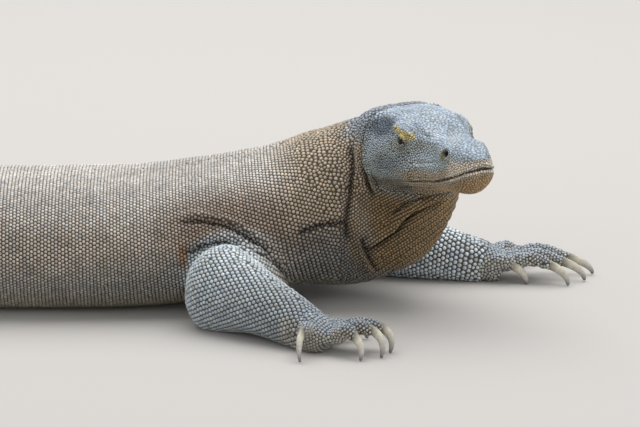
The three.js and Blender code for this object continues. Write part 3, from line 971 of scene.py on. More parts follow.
def clothe_lids(coat, side):
    """Rings of fine scales on the lids of an eye."""
    centre, (along, across, out) = eye_axes(side)
    for times, gap in LID_ROWS:
        around = np.linspace(0, FULL_TURN, round(FULL_TURN * LID_ROUND * times / gap), endpoint=False)
        x = EYE_OPENING[0] * times * np.cos(around)
        y = EYE_OPENING[1] * (times + LID_TALL) * np.sin(around)
        flat = np.sqrt(np.maximum(LID_RADIUS ** 2 - x * x - y * y, 1))
        place = centre + x[:, None] * along + y[:, None] * across + flat[:, None] * out
        coat.add("head", "grain", place, along, gap, head_chart(place), 4.0, LID_RANK)


def clothe_head(coat):
    """Rows at the lips, brows and lids, then small scales thrown over the rest of the head."""
    for row in LEADING_ROWS:
        lay_row(coat, *row)
    for side in BOTH_SIDES:
        clothe_lids(coat, side)
    round_it = np.linspace(0, FULL_TURN, SHELL_STEPS)[None]
    shell = tree_of(head_tube.at(np.linspace(0, 1, SHELL_STEPS)[:, None], round_it).reshape(-1, 3))
    h = to_half_head(surface.place)
    boxed = (h[:, 0] > HEAD_BACK) & (h[:, 0] < HEAD_FRONT)
    near = np.nonzero(boxed & (h[:, 1] < HEAD_OUT) & (np.abs(h[:, 2]) < HEAD_HIGH))[0]
    close = np.array([shell.find(surface.place[i])[2] < HEAD_LOOSE for i in near])
    near = rng.permutation(near[close])
    place, facing = surface.place[near], skin_facing[near]
    size = head_size(to_half_head(place), facing) * rng.uniform(*VARIETY, len(near))
    kept = uncrowded(place, size, np.arange(len(near)), HEAD_CROWDING)
    place, facing, size = place[kept], facing[kept], size[kept]
    along = np.broadcast_to(HEAD_AXES[:, 0], place.shape)
    nape = to_head(place)[:, 0] < NAPE_LINE
    plain = (facing @ HEAD_AXES[:, 2] > CROWN_FACING) & ~nape
    chart = head_chart(place)
    for kind, chosen in (("crown", plain), ("neck", nape), ("grain", ~plain & ~nape)):
        coat.add("head", kind, place[chosen], along[chosen], size[chosen], chart[chosen], 3.0, HEAD_RANK)


def tree_of(spots):
    """A search tree of places."""
    tree = KDTree(len(spots))
    for i, p in enumerate(spots):
        tree.insert(p, i)
    tree.balance()
    return tree


def uncrowded(place, gap, rank, share):
    """Indices of the points that no earlier one crowds."""
    spots = place.tolist()
    tree = tree_of(spots)
    alive = np.ones(len(place), bool)
    position = np.empty(len(place), int)
    order = np.argsort(rank, kind="stable")
    position[order] = np.arange(len(place))
    for i in order.tolist():
        if not alive[i]:
            continue
        for _, j, distance in tree.find_range(spots[i], share * gap[i] * WIDEST_PAIR):
            if position[j] > position[i] and distance < share * 0.5 * (gap[i] + gap[j]):
                alive[j] = False
    return np.nonzero(alive)[0]


def neighbours(place, count):
    """The nearest other places to each place, as indices."""
    spots = place.tolist()
    tree = tree_of(spots)
    return np.array([[f[1] for f in tree.find_n(p, count + 1)][1:] for p in spots])


ROOM = 0.95  # room that crowded scales are given, as a share of their sizes
PUSH = 0.35  # how much of the way there each step takes them
WIDEST = 0.73  # the farthest that a scale reaches from its middle, in gaps
SIDEWAYS = 0.15  # neighbours less ahead than this don't limit a scale


def settle(all_scales, times):
    """Nudges crowded scales apart, over the skin. The leading rows keep their places."""
    place, gap = all_scales["place"], all_scales["gap"]
    free = (all_scales["rank"] > LEADING)[:, None]
    for _ in range(times):
        near = neighbours(place, 6)
        away = place[:, None] - place[near]
        distance = np.linalg.norm(away, axis=2, keepdims=True) + TINY
        wanted = 0.5 * (gap[:, None] + gap[near])[..., None] * ROOM
        push = (away / distance * np.maximum(wanted - distance, 0)).sum(1) * PUSH
        place = place + push * free
        found = [skin_tree.find_nearest(p) for p in place.tolist()]
        place = np.array([f[0][:] for f in found])
        faces = np.array([f[2] for f in found])
    all_scales["place"] = place
    all_scales["facing"] = facing_of(faces)


def outlines(all_scales):
    """Each scale's own axes and its outline, from the cell that its neighbours leave it."""
    place, gap, facing = (all_scales[key] for key in ("place", "gap", "facing"))
    a = all_scales["along"]
    a = unit(a - facing * (a * facing).sum(1)[:, None])
    b = np.cross(facing, a)
    near = neighbours(place, 8)
    away = place[near] - place[:, None]
    x = (away * a[:, None]).sum(2)
    y = (away * b[:, None]).sum(2)
    length = np.hypot(x, y) + TINY
    share = gap[:, None] / (gap[:, None] + gap[near])
    turn = np.arange(SIDES) * FULL_TURN / SIDES
    reach = np.empty((len(place), SIDES))
    for k, angle in enumerate(turn):
        dot = x * math.cos(angle) + y * math.sin(angle)
        limit = np.where(dot > SIDEWAYS * length, share * length ** 2 / np.maximum(dot, TINY), math.inf)
        reach[:, k] = np.minimum(limit.min(1), WIDEST * gap)
    slim = np.array([KINDS[k][-1] for k in KIND_NAMES])[all_scales["kind"]]
    b = b * slim[:, None]
    return a[:, None] * np.cos(turn)[None, :, None] + b[:, None] * np.sin(turn)[None, :, None], reach


LEAST_STEEP = 0.15  # where the throat lies flatter than this across its rows, it has none


def throat_rows():
    """Places in level rows over the throat, and the way each row runs there."""
    on_throat = np.nonzero(is_throat(surface.place[surface.faces].mean(1)))[0]
    corners = surface.place[surface.faces[on_throat]]
    s, t = rng.random((2, len(corners), 1))
    place = np.vstack([
        corners[:, 0] * (1 - a) * (1 - b) + corners[:, 1] * a * (1 - b) + corners[:, 2] * a * b
        + corners[:, 3] * (1 - a) * b for a, b in ((s, t), (t, 1 - s), (1 - t, 1 - s))])
    facing = np.tile(facing_of(on_throat), (3, 1))
    climb = np.array(THROAT_SLANT) - facing * (facing @ np.array(THROAT_SLANT))[:, None]
    sweep = throat_sweep(place)
    level = np.round(sweep / THROAT_ROW) * THROAT_ROW
    steep = (climb * climb).sum(1)
    usable = steep > LEAST_STEEP
    place = place + climb * ((level - sweep) / np.maximum(steep, LEAST_STEEP))[:, None]
    place, facing, climb = place[usable], facing[usable], climb[usable]
    kept = uncrowded(place, np.full(len(place), THROAT_SCALE), np.arange(len(place)), 1.0)
    return place[kept], unit(np.cross(climb[kept], facing[kept]))


BARE = 0.67  # farther than this from a scale, in its gaps, the skin is bare
SMALL = 0.76  # size of the scales that fill bare skin, beside their neighbours'
CHART_STRAY = 0.01
PATCH_EDGE = 0.003  # room for a scale's own patch at the chart's edge


def fill_gaps(coat):
    """Puts small scales wherever the rows have left bare skin."""
    laid = coat.gathered()
    tree = tree_of(laid["place"].tolist())
    spare = rng.permutation(len(surface.place))[: len(surface.place) // 2]
    found = [tree.find(p) for p in surface.place[spare].tolist()]
    nearest = np.array([f[1] for f in found])
    distance = np.array([f[2] for f in found])
    bare = distance > BARE * laid["gap"][nearest]
    gap = SMALL * laid["gap"][nearest]
    spare, nearest, gap = spare[bare], nearest[bare], gap[bare]
    kept = uncrowded(surface.place[spare], gap, np.arange(len(spare)), FILL_CROWDING)
    spare, nearest, gap = spare[kept], nearest[kept], gap[kept]
    chart = laid["chart"][nearest] + rng.uniform(-CHART_STRAY, CHART_STRAY, (len(spare), 2))
    coat.parts.append({
        "place": surface.place[spare],
        "facing": skin_facing[spare],
        "along": laid["along"][nearest],
        "gap": gap,
        "chart": np.clip(chart, PATCH_EDGE, 1 - PATCH_EDGE),
        "rank": np.full(len(spare), FILL_RANK),
        "kind": laid["kind"][nearest],
        "region": laid["region"][nearest],
    })


def from_nostril(h):
    """Distance in millimetres from the line through the middle of the nostril, on either side."""
    away = (h - NOSTRIL) * HEAD_LENGTH
    deep = away @ NOSTRIL_WAY
    beside = np.linalg.norm(away - deep[:, None] * NOSTRIL_WAY, axis=1)
    return np.where(np.abs(deep) > NOSTRIL_LENGTH, math.inf, beside)


NOSTRIL_RADIUS = 3.4
LIP_GAP = 2.0  # bare skin on either side of the line between the lips
LIPS_FROM, LIPS_TO = 0.05, 0.93


def is_opening(place, spare=0.0):
    """Whether each place lies in an eye's opening, in a nostril or between the lips."""
    h = to_half_head(place)
    opening = (from_spot(h, EYE_PLACE) < EYE_RADIUS) | (from_nostril(h) < NOSTRIL_RADIUS)
    for index in lip_lines:
        near, distance, along, _ = near_line(place, line_over(surface.place, index), LIP_GAP)
        parted = (along > LIPS_FROM) & (along < LIPS_TO)
        opening[near[(distance < LIP_GAP - spare) & parted]] = True
    return opening


# Sections of the body where the size of its scales is given, and the size at each.
BODY_SPOTS = [0, 3, 6, 8, 9, 11.5, 12.5, 13.7, 14.6]
BODY_SIZES = [4.5, 7, 7, 6, 4.75, 4.75, 5.4, 5.7, 4.4]
# A leg's parts: the kind, size and step of their scales, and how loosely they follow the skin.
LEG_COATS = [
    ("upper", "oval", 6.3, 0.74, 7.0),
    ("lower", "oval", 6.5, 0.72, 6.0),
    ("palm", "plate", 4.6, 0.95, 5.0),
]
LEG_COATS += [(f"digit_{number}", "scute", 4.6, 0.86, 3.5) for number in range(1, 6)]
SETTLE_STEPS = 2
LAID_SPARE, SETTLED_SPARE = 0.3, 0.9  # how far over the lips' gap scales may lie at first and last
PLEAT_LENGTH = 1.25  # reach of a throat scale along its row, beside the rows' own spacing


def lay_coat():
    """Every scale of the coat, laid row by row, thinned, filled in and settled."""
    coat = Coat()
    clothe_head(coat)
    place, way = throat_rows()
    size = THROAT_SCALE * PLEAT_LENGTH
    coat.add("head", "pleat", place, way, size, head_chart(place), 3.0, THROAT_RANK)
    sizes = by_station(body_tube, BODY_SPOTS, BODY_SIZES)
    clothe_tube(coat, "body", "bead", body_tube, sizes, 0.9, 0.7, below="tile")
    for leg in LEGS:
        for column, (part, kind, size, step, loose) in enumerate(LEG_COATS):
            tube, cell = limb_tubes[f"{leg}_{part}"], (column, len(LEG_COATS))
            clothe_tube(coat, leg, kind, tube, steady(size), step, cell=cell, loose=loose)
    laid = coat.gathered()
    kept = uncrowded(laid["place"], laid["gap"], laid["rank"], COAT_CROWDING)
    place, kind = laid["place"][kept], laid["kind"][kept]
    on_throat = is_throat(place) & (kind != KIND_NAMES.index("pleat"))
    kept = kept[~on_throat & ~is_opening(place, LAID_SPARE)]
    coat.parts = [{key: value[kept] for key, value in laid.items()}]
    fill_gaps(coat)
    laid = coat.gathered()
    settle(laid, SETTLE_STEPS)
    clear = ~is_opening(laid["place"], SETTLED_SPARE)
    return {key: value[clear] for key, value in laid.items()}


scales = lay_coat()
ways, reach = outlines(scales)


def srgb(r, g, b):
    """A linear colour from its 0 to 255 screen values."""
    c = np.array([r, g, b]) / 255
    return np.where(c > 0.04045, ((c + 0.055) / 1.055) ** 2.4, c / 12.92)


TRUNK_TONE = srgb(168, 158, 146)
BACK_TONE_AND_LIGHT = srgb(190, 186, 180)
FLANK_TONE_AND_SHADE = srgb(138, 136, 130)
SHOULDER_TONE = srgb(124, 106, 90)
NECK_TONE = srgb(160, 144, 122)
NECK_LOW_SHADE_TONE = srgb(92, 89, 86)
NAPE_TONE = srgb(134, 145, 157)
THROAT_TONE = srgb(132, 108, 70)
TAIL_TONE = srgb(128, 120, 108)
ARM_TONE = srgb(178, 186, 190)
HAND_TONE = srgb(156, 151, 140)
HAND_TOP_TONE = srgb(136, 144, 152)
CROWN_TONE = srgb(156, 168, 180)
CHEEK_TONE = srgb(158, 166, 164)
TEMPLE_TONE = srgb(60, 70, 82)
LIP_TONE = srgb(156, 142, 122)
CHIN_TONE = srgb(152, 124, 84)
SNOUT_TONE = srgb(208, 198, 182)
JOWL_TONE = srgb(112, 102, 86)
BROW_TONE = srgb(206, 188, 118)
NOSTRIL_TONE = srgb(112, 102, 52)
RUST_TONE = srgb(142, 102, 62)
PIT_SHADE_TONE = srgb(24, 20, 18)
BELLY_TONE = srgb(150, 142, 124)


def patch(place, centre, sizes, soft=0.6):
    """1 inside an oval patch of the given half sizes, fading to 0 across its border."""
    r = np.linalg.norm((place - np.asarray(centre)) / np.asarray(sizes), axis=-1)
    return 1 - ease(r, 1 - soft / 2, 1 + soft / 2)


# How far back the head ends at each height on its side, and how high its lips meet at each
# distance back.
NAPE_HEIGHTS = (-0.24, -0.19, -0.136, -0.048, 0.033, 0.116, 0.173, 0.22, 0.24)
NAPE_BACKS = (0.755, 0.772, 0.795, 0.818, 0.822, 0.827, 0.824, 0.85, 0.93)
MOUTH_BACKS = (0, 0.026, 0.117, 0.258, 0.353, 0.496, 0.6)
MOUTH_HEIGHTS = (0, -0.012, -0.044, -0.082, -0.09, -0.1, -0.112)
# Ripples in the tones: length in millimetres and seed.
SLOW_RIPPLE = (160, 3)
FINE_RIPPLE = (34, 5)
CROWN_RIPPLE = (26, 31)
CHIN_RIPPLE = (10, 43)
BROW_RIPPLE = (8, 41)
# Where each tone starts and where it is whole, by facing, by place in millimetres or by height.
BACK_RISE = (0.25, 0.95)
FLANK_FALL = (-0.15, 0.5)
BELLY_FALL = (0.6, 0.95)
TAIL_SPAN = (430, 900)
NECK_SPAN, NECK_RISE = (255, 320), (85, 130)
NECK_LOW_SPAN, NECK_LOW_FALL = (255, 330), (-125, -85)
NAPE_SPAN, NAPE_RISE = (338, 368), (198, 226)
THROAT_SPAN, THROAT_FALL, THROAT_RISE = (352, 402), (0.1, 0.2), (36, 60)
HEAD_SPAN, HEAD_RISE = (0, 0.03), (-0.24, -0.12)
HEAD_STARTS = 370  # the head's own tones lie ahead of this x
SHOULDER_PATCH = ((225, 105, 112), (95, 70, 46))
RUST_PATCH = ((157, -122, 80), (6, 16, 17))
# Patches on either side of the head, in head lengths: tone, share, centre, half sizes, softness.
HEAD_PATCHES = (
    (TEMPLE_TONE, 0.9, (-0.70, 0.2, 0.165), (0.11, 0.1, 0.05), 0.9),
    (TEMPLE_TONE, 0.45, (-0.60, 0.235, -0.01), (0.12, 0.1, 0.045), 0.9),
    (TEMPLE_TONE, 0.35, (-0.48, 0.21, 0.045), (0.07, 0.1, 0.03), 0.9),
    (NOSTRIL_TONE, 0.35, (-0.45, 0.2, 0.09), (0.13, 0.1, 0.04), 1.0),
    (NOSTRIL_TONE, 0.9, (-0.188, 0.118, 0.064), (0.028, 0.05, 0.026), 0.6),
)
BROW_STRIPE = np.array([[-0.56, 0.168], [-0.435, 0.133]])  # its ends, forward and up
BROW_STRIPE_EDGE = (0.013, 0.022)
FAR_BROW = 0.25  # strength of the left brow's stripe beside the right's
NOSTRIL_EDGE = (3.3, 4.4)


def brow_stripe(place, h, wobble):
    """How much of the stripe over the brow shows at each place."""
    first, last = BROW_STRIPE
    spot = h[:, [0, 2]] - first
    run = np.clip(spot @ (last - first) / ((last - first) ** 2).sum(), 0, 1)
    off = np.linalg.norm(spot - run[:, None] * (last - first), axis=1) + 0.3 * wobble
    right = place @ HEAD_AXES[:, 1] < LIP_FRONT @ HEAD_AXES[:, 1]
    shown = np.where(right, 1.0, FAR_BROW) * (1 - ease(off, *BROW_STRIPE_EDGE)) * (h[:, 1] > 0.1)
    return shown * (0.8 + 0.2 * ripple(place, *BROW_RIPPLE))


def markings_and_painted_light(place, facing):
    """The tone of the hide at each place, the same for the skin and for the scales over it, with painted
    light and shade on the back, the flanks, the low neck and in the pits.
    """
    tone = np.tile(TRUNK_TONE, (len(place), 1))

    def lay(colour, share):
        nonlocal tone
        tone = tone + (colour - tone) * np.clip(share, 0, 1)[:, None]

    x, _, z = place.T
    up = facing[:, 2]
    slow = ripple(place, *SLOW_RIPPLE)
    fine = ripple(place, *FINE_RIPPLE)
    # Paler where the hide faces up and darker where it faces down: partly its own colour, partly painted
    # light from above and painted shade below.
    lay(BACK_TONE_AND_LIGHT, 0.8 * ease(up + 0.1 * slow, *BACK_RISE))
    lay(FLANK_TONE_AND_SHADE, 0.8 * ease(-up + 0.15 * slow, *FLANK_FALL))
    lay(BELLY_TONE, ease(-up, *BELLY_FALL))
    lay(TAIL_TONE, 0.75 * ease(-x, *TAIL_SPAN))
    lay(SHOULDER_TONE, 0.85 * patch(np.abs(place), *SHOULDER_PATCH, 1.0) * (x > 0))
    lay(NECK_TONE, 0.9 * ease(x + 12 * slow, *NECK_SPAN) * ease(z + 8 * fine, *NECK_RISE))
    # Painted shade over the low part of the neck.
    lay(NECK_LOW_SHADE_TONE, 0.75 * ease(x, *NECK_LOW_SPAN) * ease(-z + 8 * fine, *NECK_LOW_FALL))
    lay(NAPE_TONE, 0.85 * ease(x + 10 * fine, *NAPE_SPAN) * ease(z, *NAPE_RISE))
    h = to_half_head(place)
    back, high = -h[:, 0], h[:, 2]
    wobble = 0.02 * fine
    throat = ease(x + 10 * fine, *THROAT_SPAN) * ease(-high + wobble, *THROAT_FALL)
    lay(THROAT_TONE, 0.9 * throat * ease(z, *THROAT_RISE))
    nape = np.interp(high, NAPE_HEIGHTS, NAPE_BACKS)
    on_head = ease(nape - back, *HEAD_SPAN) * ease(high + wobble, *HEAD_RISE) * (x > HEAD_STARTS)
    lay(CHEEK_TONE, on_head)
    rise = facing @ HEAD_AXES[:, 2]
    crown = on_head * ease(rise + 0.1 * fine, 0.1, 0.6)
    lay(CROWN_TONE, crown)
    lay(0.75 * CROWN_TONE, 0.6 * crown * ease(ripple(place, *CROWN_RIPPLE), 0.1, 0.7))
    under_lips = np.interp(back, MOUTH_BACKS, MOUTH_HEIGHTS) - high
    jowl = on_head * ease(-high - 0.07 + wobble, 0, 0.05) * ease(back + wobble, 0.4, 0.52)
    lay(JOWL_TONE, 0.9 * jowl)
    jaw = on_head * (1 - ease(back + wobble, 0.45, 0.6))
    lay(LIP_TONE, jaw * ease(under_lips + 0.075 + 0.5 * wobble, 0, 0.04) * (rise < 0.6))
    lay(CHIN_TONE, 0.9 * jaw * ease(under_lips + 0.014 * ripple(place, *CHIN_RIPPLE), 0.018, 0.06))
    snout = on_head * ease(0.17 - back, 0, 0.06) * ease(0.055 - high, 0, 0.03)
    lay(SNOUT_TONE, 0.8 * snout * (under_lips < 0.02))
    for colour, share, centre, sizes, soft in HEAD_PATCHES:
        lay(colour, share * on_head * patch(h, centre, sizes, soft))
    lay(BROW_TONE, on_head * brow_stripe(place, h, wobble))
    # Painted shade in the eye's socket behind the eyeball and down each nostril's pit.
    lay(PIT_SHADE_TONE, from_spot(h, EYE_PLACE) < EYE_RADIUS - 0.5)
    lay(PIT_SHADE_TONE, 1 - ease(from_nostril(h), *NOSTRIL_EDGE))
    return tone * (1 + 0.10 * slow + 0.06 * fine)[:, None]


CROWN_SOFTNESS = 0.9
LIP_SOFTNESS = 0.55
THROAT_SOFTNESS = 0.15


def softness(place, facing):
    """How little the hide darkens between its scales and at their feet, partly its own darker tone and partly
    painted shade: most on the crown and lips.
    """
    h = to_head(place)
    rise = facing @ HEAD_AXES[:, 2]
    head = ease(h[:, 0], -0.95, -0.85) * ease(h[:, 2], -0.2, -0.1) * (place[:, 0] > HEAD_STARTS)
    crown = head * ease(rise, 0.35, 0.75) * (1 - 0.75 * ease(-h[:, 0], 0.5, 0.7))
    lips = head * ease(h[:, 0], -0.45, -0.3) * (rise < 0.4)
    soft = np.maximum(CROWN_SOFTNESS * crown, LIP_SOFTNESS * lips)
    return np.maximum(soft, THROAT_SOFTNESS * is_throat(place))


LEG_JOIN = (55, 120)  # millimetres from its root over which a leg takes its own tone
LEG_PALER = 1.22
HIND_HAND = 0.85  # tone of the hind feet beside the hands
WRIST_SHADE = 0.54  # how much a leg darkens towards its wrist, and how much the lit far one does
FAR_WRIST_SHADE = 0.02
HAND_REACH = 45
LEG_SHARE = (1.15, 1.6)  # distances from a leg's line, in its radii, over which its share ends
LEG_BOX = 330
DIGIT_ROOM = 1.3


def leg_markings(tone, place, facing, leg):
    """Legs keep the body's tone where they join it and turn to their own along their length."""
    parts = LEGS[leg]
    start = np.array(parts["upper"][0][:3])
    wrist = np.array(parts["lower"][-1][:3])
    distance = np.linalg.norm(place - start, axis=1)
    reach = np.linalg.norm(wrist - start)
    share = ease(distance, *LEG_JOIN)
    fore = leg.startswith("fore")
    own = ARM_TONE if fore else 0.5 * ARM_TONE + 0.4 * TRUNK_TONE
    shade = FAR_WRIST_SHADE if leg == "fore_left" else WRIST_SHADE
    # Painted shade darkens each leg towards its wrist; the lit far foreleg hardly darkens.
    own = own * LEG_PALER * (1 - shade * ease(distance / reach, 0.5, 1.0))[:, None]
    tone = tone + (own - tone) * share[:, None]
    hand = ease(HAND_REACH - np.linalg.norm(place - wrist, axis=1), 0, 40) * share
    hand = np.maximum(hand, distance > reach)
    top = HAND_TONE + (HAND_TOP_TONE - HAND_TONE) * ease(facing[:, 2], 0.3, 0.8)[:, None]
    return tone + (top * (1.0 if fore else HIND_HAND) - tone) * (hand * 0.8)[:, None]


def leg_shares(place):
    """How much each leg owns each place: 1 on the leg, 0 on the body."""
    found = {}
    for leg, parts in LEGS.items():
        lines = [along_path(parts[part], 12) for part in ("upper", "lower", "palm")]
        for points in parts["digits"]:
            radius = np.full(len(points), DIGIT_ROOM * DIGIT_RADII[0])
            lines.append(along_path(np.column_stack([points, radius]), 8))
        line = np.vstack([part[:, :4] for part in lines])
        near = np.nonzero((np.abs(place - line[:, :3].mean(0)) < LEG_BOX).all(1))[0]
        gap = np.linalg.norm(place[near][:, None] - line[None, :, :3], axis=2) / line[None, :, 3]
        share = np.zeros(len(place))
        share[near] = 1 - ease(gap.min(1), *LEG_SHARE)
        found[leg] = share
    return found


def hide_tone(place, facing):
    """The tone of the hide with the legs', the rust patch, and painted shade along the creases and the line
    between the lips.
    """
    tone = markings_and_painted_light(place, facing)
    for leg, share in leg_shares(place).items():
        chosen = share > 0
        own = leg_markings(tone[chosen], place[chosen], facing[chosen], leg)
        tone[chosen] += (own - tone[chosen]) * share[chosen, None]
    rust = 0.75 * patch(place, *RUST_PATCH, 1.0)
    tone += (RUST_TONE - tone) * rust[:, None]
    # Painted shade along each crease; a negative shade paints a highlight instead.
    for index, width, shade in shaded_creases:
        near, distance, along, _ = near_line(place, line_over(surface.place, index), 3 * width)
        ends = ease(np.minimum(along, 1 - along), 0, 0.15)
        tone[near] *= (1 - shade * ends * np.exp(-(distance / width) ** 2))[:, None]
    return tone


TIGHT = 1.04  # radius of a round scale, beside its outline's nearest side
SUNK = 0.6  # how far the foot of a scale lies under the skin
SHOULDER_RISE = 0.7  # the shoulder's share of the way from the bare skin's tone to the dome's
SCALE_PATCH = 0.0015  # size of a scale's own patch on the chart, and of its shoulder there
SHOULDER_PATCH_SHARE = 0.6
ROW_EDGE = 0.02


def scale_mesh(name, chosen):
    """One piece of the coat: a low dome for each of the chosen scales."""
    place, facing, gap = (scales[key][chosen] for key in ("place", "facing", "gap"))
    shapes = np.array([KINDS[k] for k in KIND_NAMES])[scales["kind"][chosen]]
    height, middle, roundness, fill, shoulder, _ = shapes.T
    tall = height * gap * scales["vigour"][chosen]
    r = reach[chosen]
    tight = r.min(1, keepdims=True) * TIGHT
    r = (r + (np.minimum(tight, r) - r) * roundness[:, None]) * fill[:, None]
    spoke = ways[chosen] * r[..., None]
    base = place[:, None] + spoke - SUNK * facing[:, None]
    ring = place[:, None] + spoke * middle[:, None, None] + (tall * shoulder)[:, None, None] * facing[:, None]
    top = place + tall[:, None] * facing
    points = np.concatenate([base, ring, top[:, None]], 1)
    count = len(place)
    size = 2 * SIDES + 1
    k = np.arange(SIDES)
    after = (k + 1) % SIDES
    pattern = np.vstack([
        np.column_stack([k, after, SIDES + after]),
        np.column_stack([k, SIDES + after, SIDES + k]),
        np.column_stack([SIDES + k, SIDES + after, np.full(SIDES, 2 * SIDES)]),
    ])
    faces = (np.arange(count)[:, None, None] * size + pattern[None]).reshape(-1, 3)
    points = points.reshape(-1, 3)
    points[:, 2] = np.maximum(points[:, 2], SCALE_FLOOR)
    rise = np.tile(np.concatenate([np.zeros(SIDES), np.full(SIDES, SHOULDER_RISE), [1.0]]), count)
    tone = np.repeat(scales["tone"][chosen], size, 0)
    column, row = scales["chart"][chosen].T
    row = ROW_EDGE + (1 - 2 * ROW_EDGE) * (row - row.min()) / max(np.ptp(row), TINY)
    around = np.stack([np.cos(k * FULL_TURN / SIDES), np.sin(k * FULL_TURN / SIDES)], -1)
    dot = np.vstack([around, around * SHOULDER_PATCH_SHARE, [[0, 0]]]) * SCALE_PATCH
    uv = (np.column_stack([column, row])[:, None] + dot[None]).reshape(-1, 2)
    soft = np.repeat(scales["soft"][chosen], size)
    return mesh_piece(name, points, faces, {"tone": tone}, {"rise": rise, "soft": soft}, uv)


def split_evenly(region):
    """A region's scales in runs of at most SCALES_A_PIECE, from one end of it to the other."""
    chosen = np.nonzero(scales["region"] == region)[0]
    chosen = chosen[np.argsort(scales["chart"][chosen, 1], kind="stable")]
    return np.array_split(chosen, math.ceil(len(chosen) / SCALES_A_PIECE))


class Field:
    """A value that varies over a surface. Arithmetic on it adds the nodes that work it out."""

    def __init__(self, finish, socket):
        self.finish = finish
        self.socket = socket

    def maths(self, operation, first, second):
        made = self.finish.node("Math", {"operation": operation}, {0: first, 1: second})
        return made("Value")

    def __add__(self, other):
        return self.maths("ADD", self, other)

    __radd__ = __add__

    def __sub__(self, other):
        return self.maths("SUBTRACT", self, other)

    def __rsub__(self, other):
        return self.maths("SUBTRACT", other, self)

    def __mul__(self, other):
        return self.maths("MULTIPLY", self, other)

    __rmul__ = __mul__


class Finish:
    """A material on one Principled shader, with a method that adds any other node."""

    def __init__(self, name, **constants):
        self.material = bpy.data.materials.new(name)
        self.material.use_nodes = True
        self.tree = self.material.node_tree
        self.shader = self.tree.nodes["Principled BSDF"]
        for key, value in constants.items():
            self.shader.inputs[key.replace("_", " ")].default_value = value

    def feed(self, socket, value):
        if isinstance(value, Field):
            self.tree.links.new(value.socket, socket)
        else:
            socket.default_value = value

    def node(self, kind, settings=None, inputs=None):
        """Adds a node, and returns a way to read its outputs by name."""
        made = self.tree.nodes.new("ShaderNode" + kind)
        settings = dict(settings or {})
        stops = settings.pop("stops", None)
        for key, value in settings.items():
            setattr(made, key, value)
        if stops:
            ramp = made.color_ramp.elements
            while len(ramp) < len(stops):
                ramp.new(0.5)
            for element, (position, colour) in zip(ramp, stops):
                element.position = position
                element.color = (*colour, 1) if len(colour) == 3 else colour
        for key, value in (inputs or {}).items():
            self.feed(made.inputs[key], value)
        return lambda name: Field(self, made.outputs[name])

    def attribute(self, name, output="Fac"):
        return self.node("Attribute", {"attribute_name": name})(output)

    def noise(self, scale, detail=2.0, roughness=0.5):
        place = self.node("TexCoord")("Object")
        inputs = {"Vector": place, "Scale": scale, "Detail": detail, "Roughness": roughness}
        return self.node("TexNoise", None, inputs)("Fac")

    def mix(self, share, first, second, blend="MIX"):
        first, second = (v if isinstance(v, Field) else (*v, 1) for v in (first, second))
        settings = {"data_type": "RGBA", "blend_type": blend, "clamp_factor": True}
        return self.node("Mix", settings, {0: share, 6: first, 7: second})(2)

    def ramp(self, value, stops):
        return self.node("ValToRGB", {"stops": stops}, {"Fac": value})("Color")

    def bump(self, height, strength, distance):
        made = self.node("Bump", None, {"Height": height, "Strength": strength, "Distance": distance})
        self.set(Normal=made("Normal"))

    def set(self, **inputs):
        for key, value in inputs.items():
            self.feed(self.shader.inputs[key.replace("_", " ")], value)


def scale_finish():
    """Dull horn, with painted shade at the foot of each dome where it meets the hollows between scales, and a
    painted highlight on their tops.
    """
    finish = Finish("scale_keratin", Specular_IOR_Level=0.42)
    tone = finish.attribute("tone", "Color")
    rise = finish.attribute("rise")
    grain = finish.noise(1400, 3)
    blotch = finish.noise(90, 2)
    soft = finish.attribute("soft")
    # Painted shade at each scale's foot, lighter where the hide is soft.
    hollow = finish.mix(soft, (0.17, 0.155, 0.15), (0.72, 0.71, 0.70))
    dark = finish.mix(1.0, tone, hollow, "MULTIPLY")
    # A painted highlight on each dome's top.
    pale = finish.mix(1.0, tone, (1.12, 1.12, 1.12), "MULTIPLY")
    span = {"Value": rise, "From Min": 0.05, "From Max": 0.85}
    lift = finish.node("MapRange", {"interpolation_type": "SMOOTHSTEP"}, span)("Result")
    colour = finish.mix(lift, dark, pale)
    worn = finish.mix((grain - 0.5) * 0.9, colour, (0.02, 0.018, 0.016))
    stained = finish.mix((blotch - 0.45) * 0.55, worn, (0.10, 0.085, 0.065))
    finish.set(Base_Color=stained, Roughness=0.44 + grain * 0.26)
    finish.bump(grain, 0.35, 0.0004)
    return finish.material


def skin_finish():
    """The skin that shows between scales, dark partly with its own tone and partly with painted shade in the
    hollows.
    """
    finish = Finish("bare_skin", Specular_IOR_Level=0.3)
    tone = finish.attribute("tone", "Color")
    grain = finish.noise(1100, 4)
    soft = finish.attribute("soft")
    # Darkened: partly the skin's own tone, partly painted shade in the hollows between scales.
    hollow = finish.mix(soft, (0.20, 0.185, 0.175), (0.68, 0.66, 0.64))
    dark = finish.mix(1.0, tone, hollow, "MULTIPLY")
    colour = finish.mix((grain - 0.3) * 0.7, dark, (0.015, 0.013, 0.012))
    finish.set(Base_Color=colour, Roughness=0.6 + grain * 0.25)
    finish.bump(grain, 0.5, 0.0006)
    return finish.material


# Tones of a claw from its root to its tip, and of an eye from its outward pole to its back.
CLAW_TONES = [
    (0.0, srgb(104, 98, 84)),
    (0.25, srgb(190, 184, 166)),
    (0.7, srgb(168, 164, 154)),
    (1.0, srgb(96, 96, 100)),
]
CLAW_STAIN = srgb(70, 58, 44)
EYE_TONES = [
    (0.0, srgb(3, 3, 3)),
    (0.20, srgb(4, 3, 3)),
    (0.24, srgb(92, 58, 24)),
    (0.40, srgb(58, 36, 18)),
    (0.52, srgb(16, 11, 9)),
    (1.0, srgb(30, 22, 18)),
]


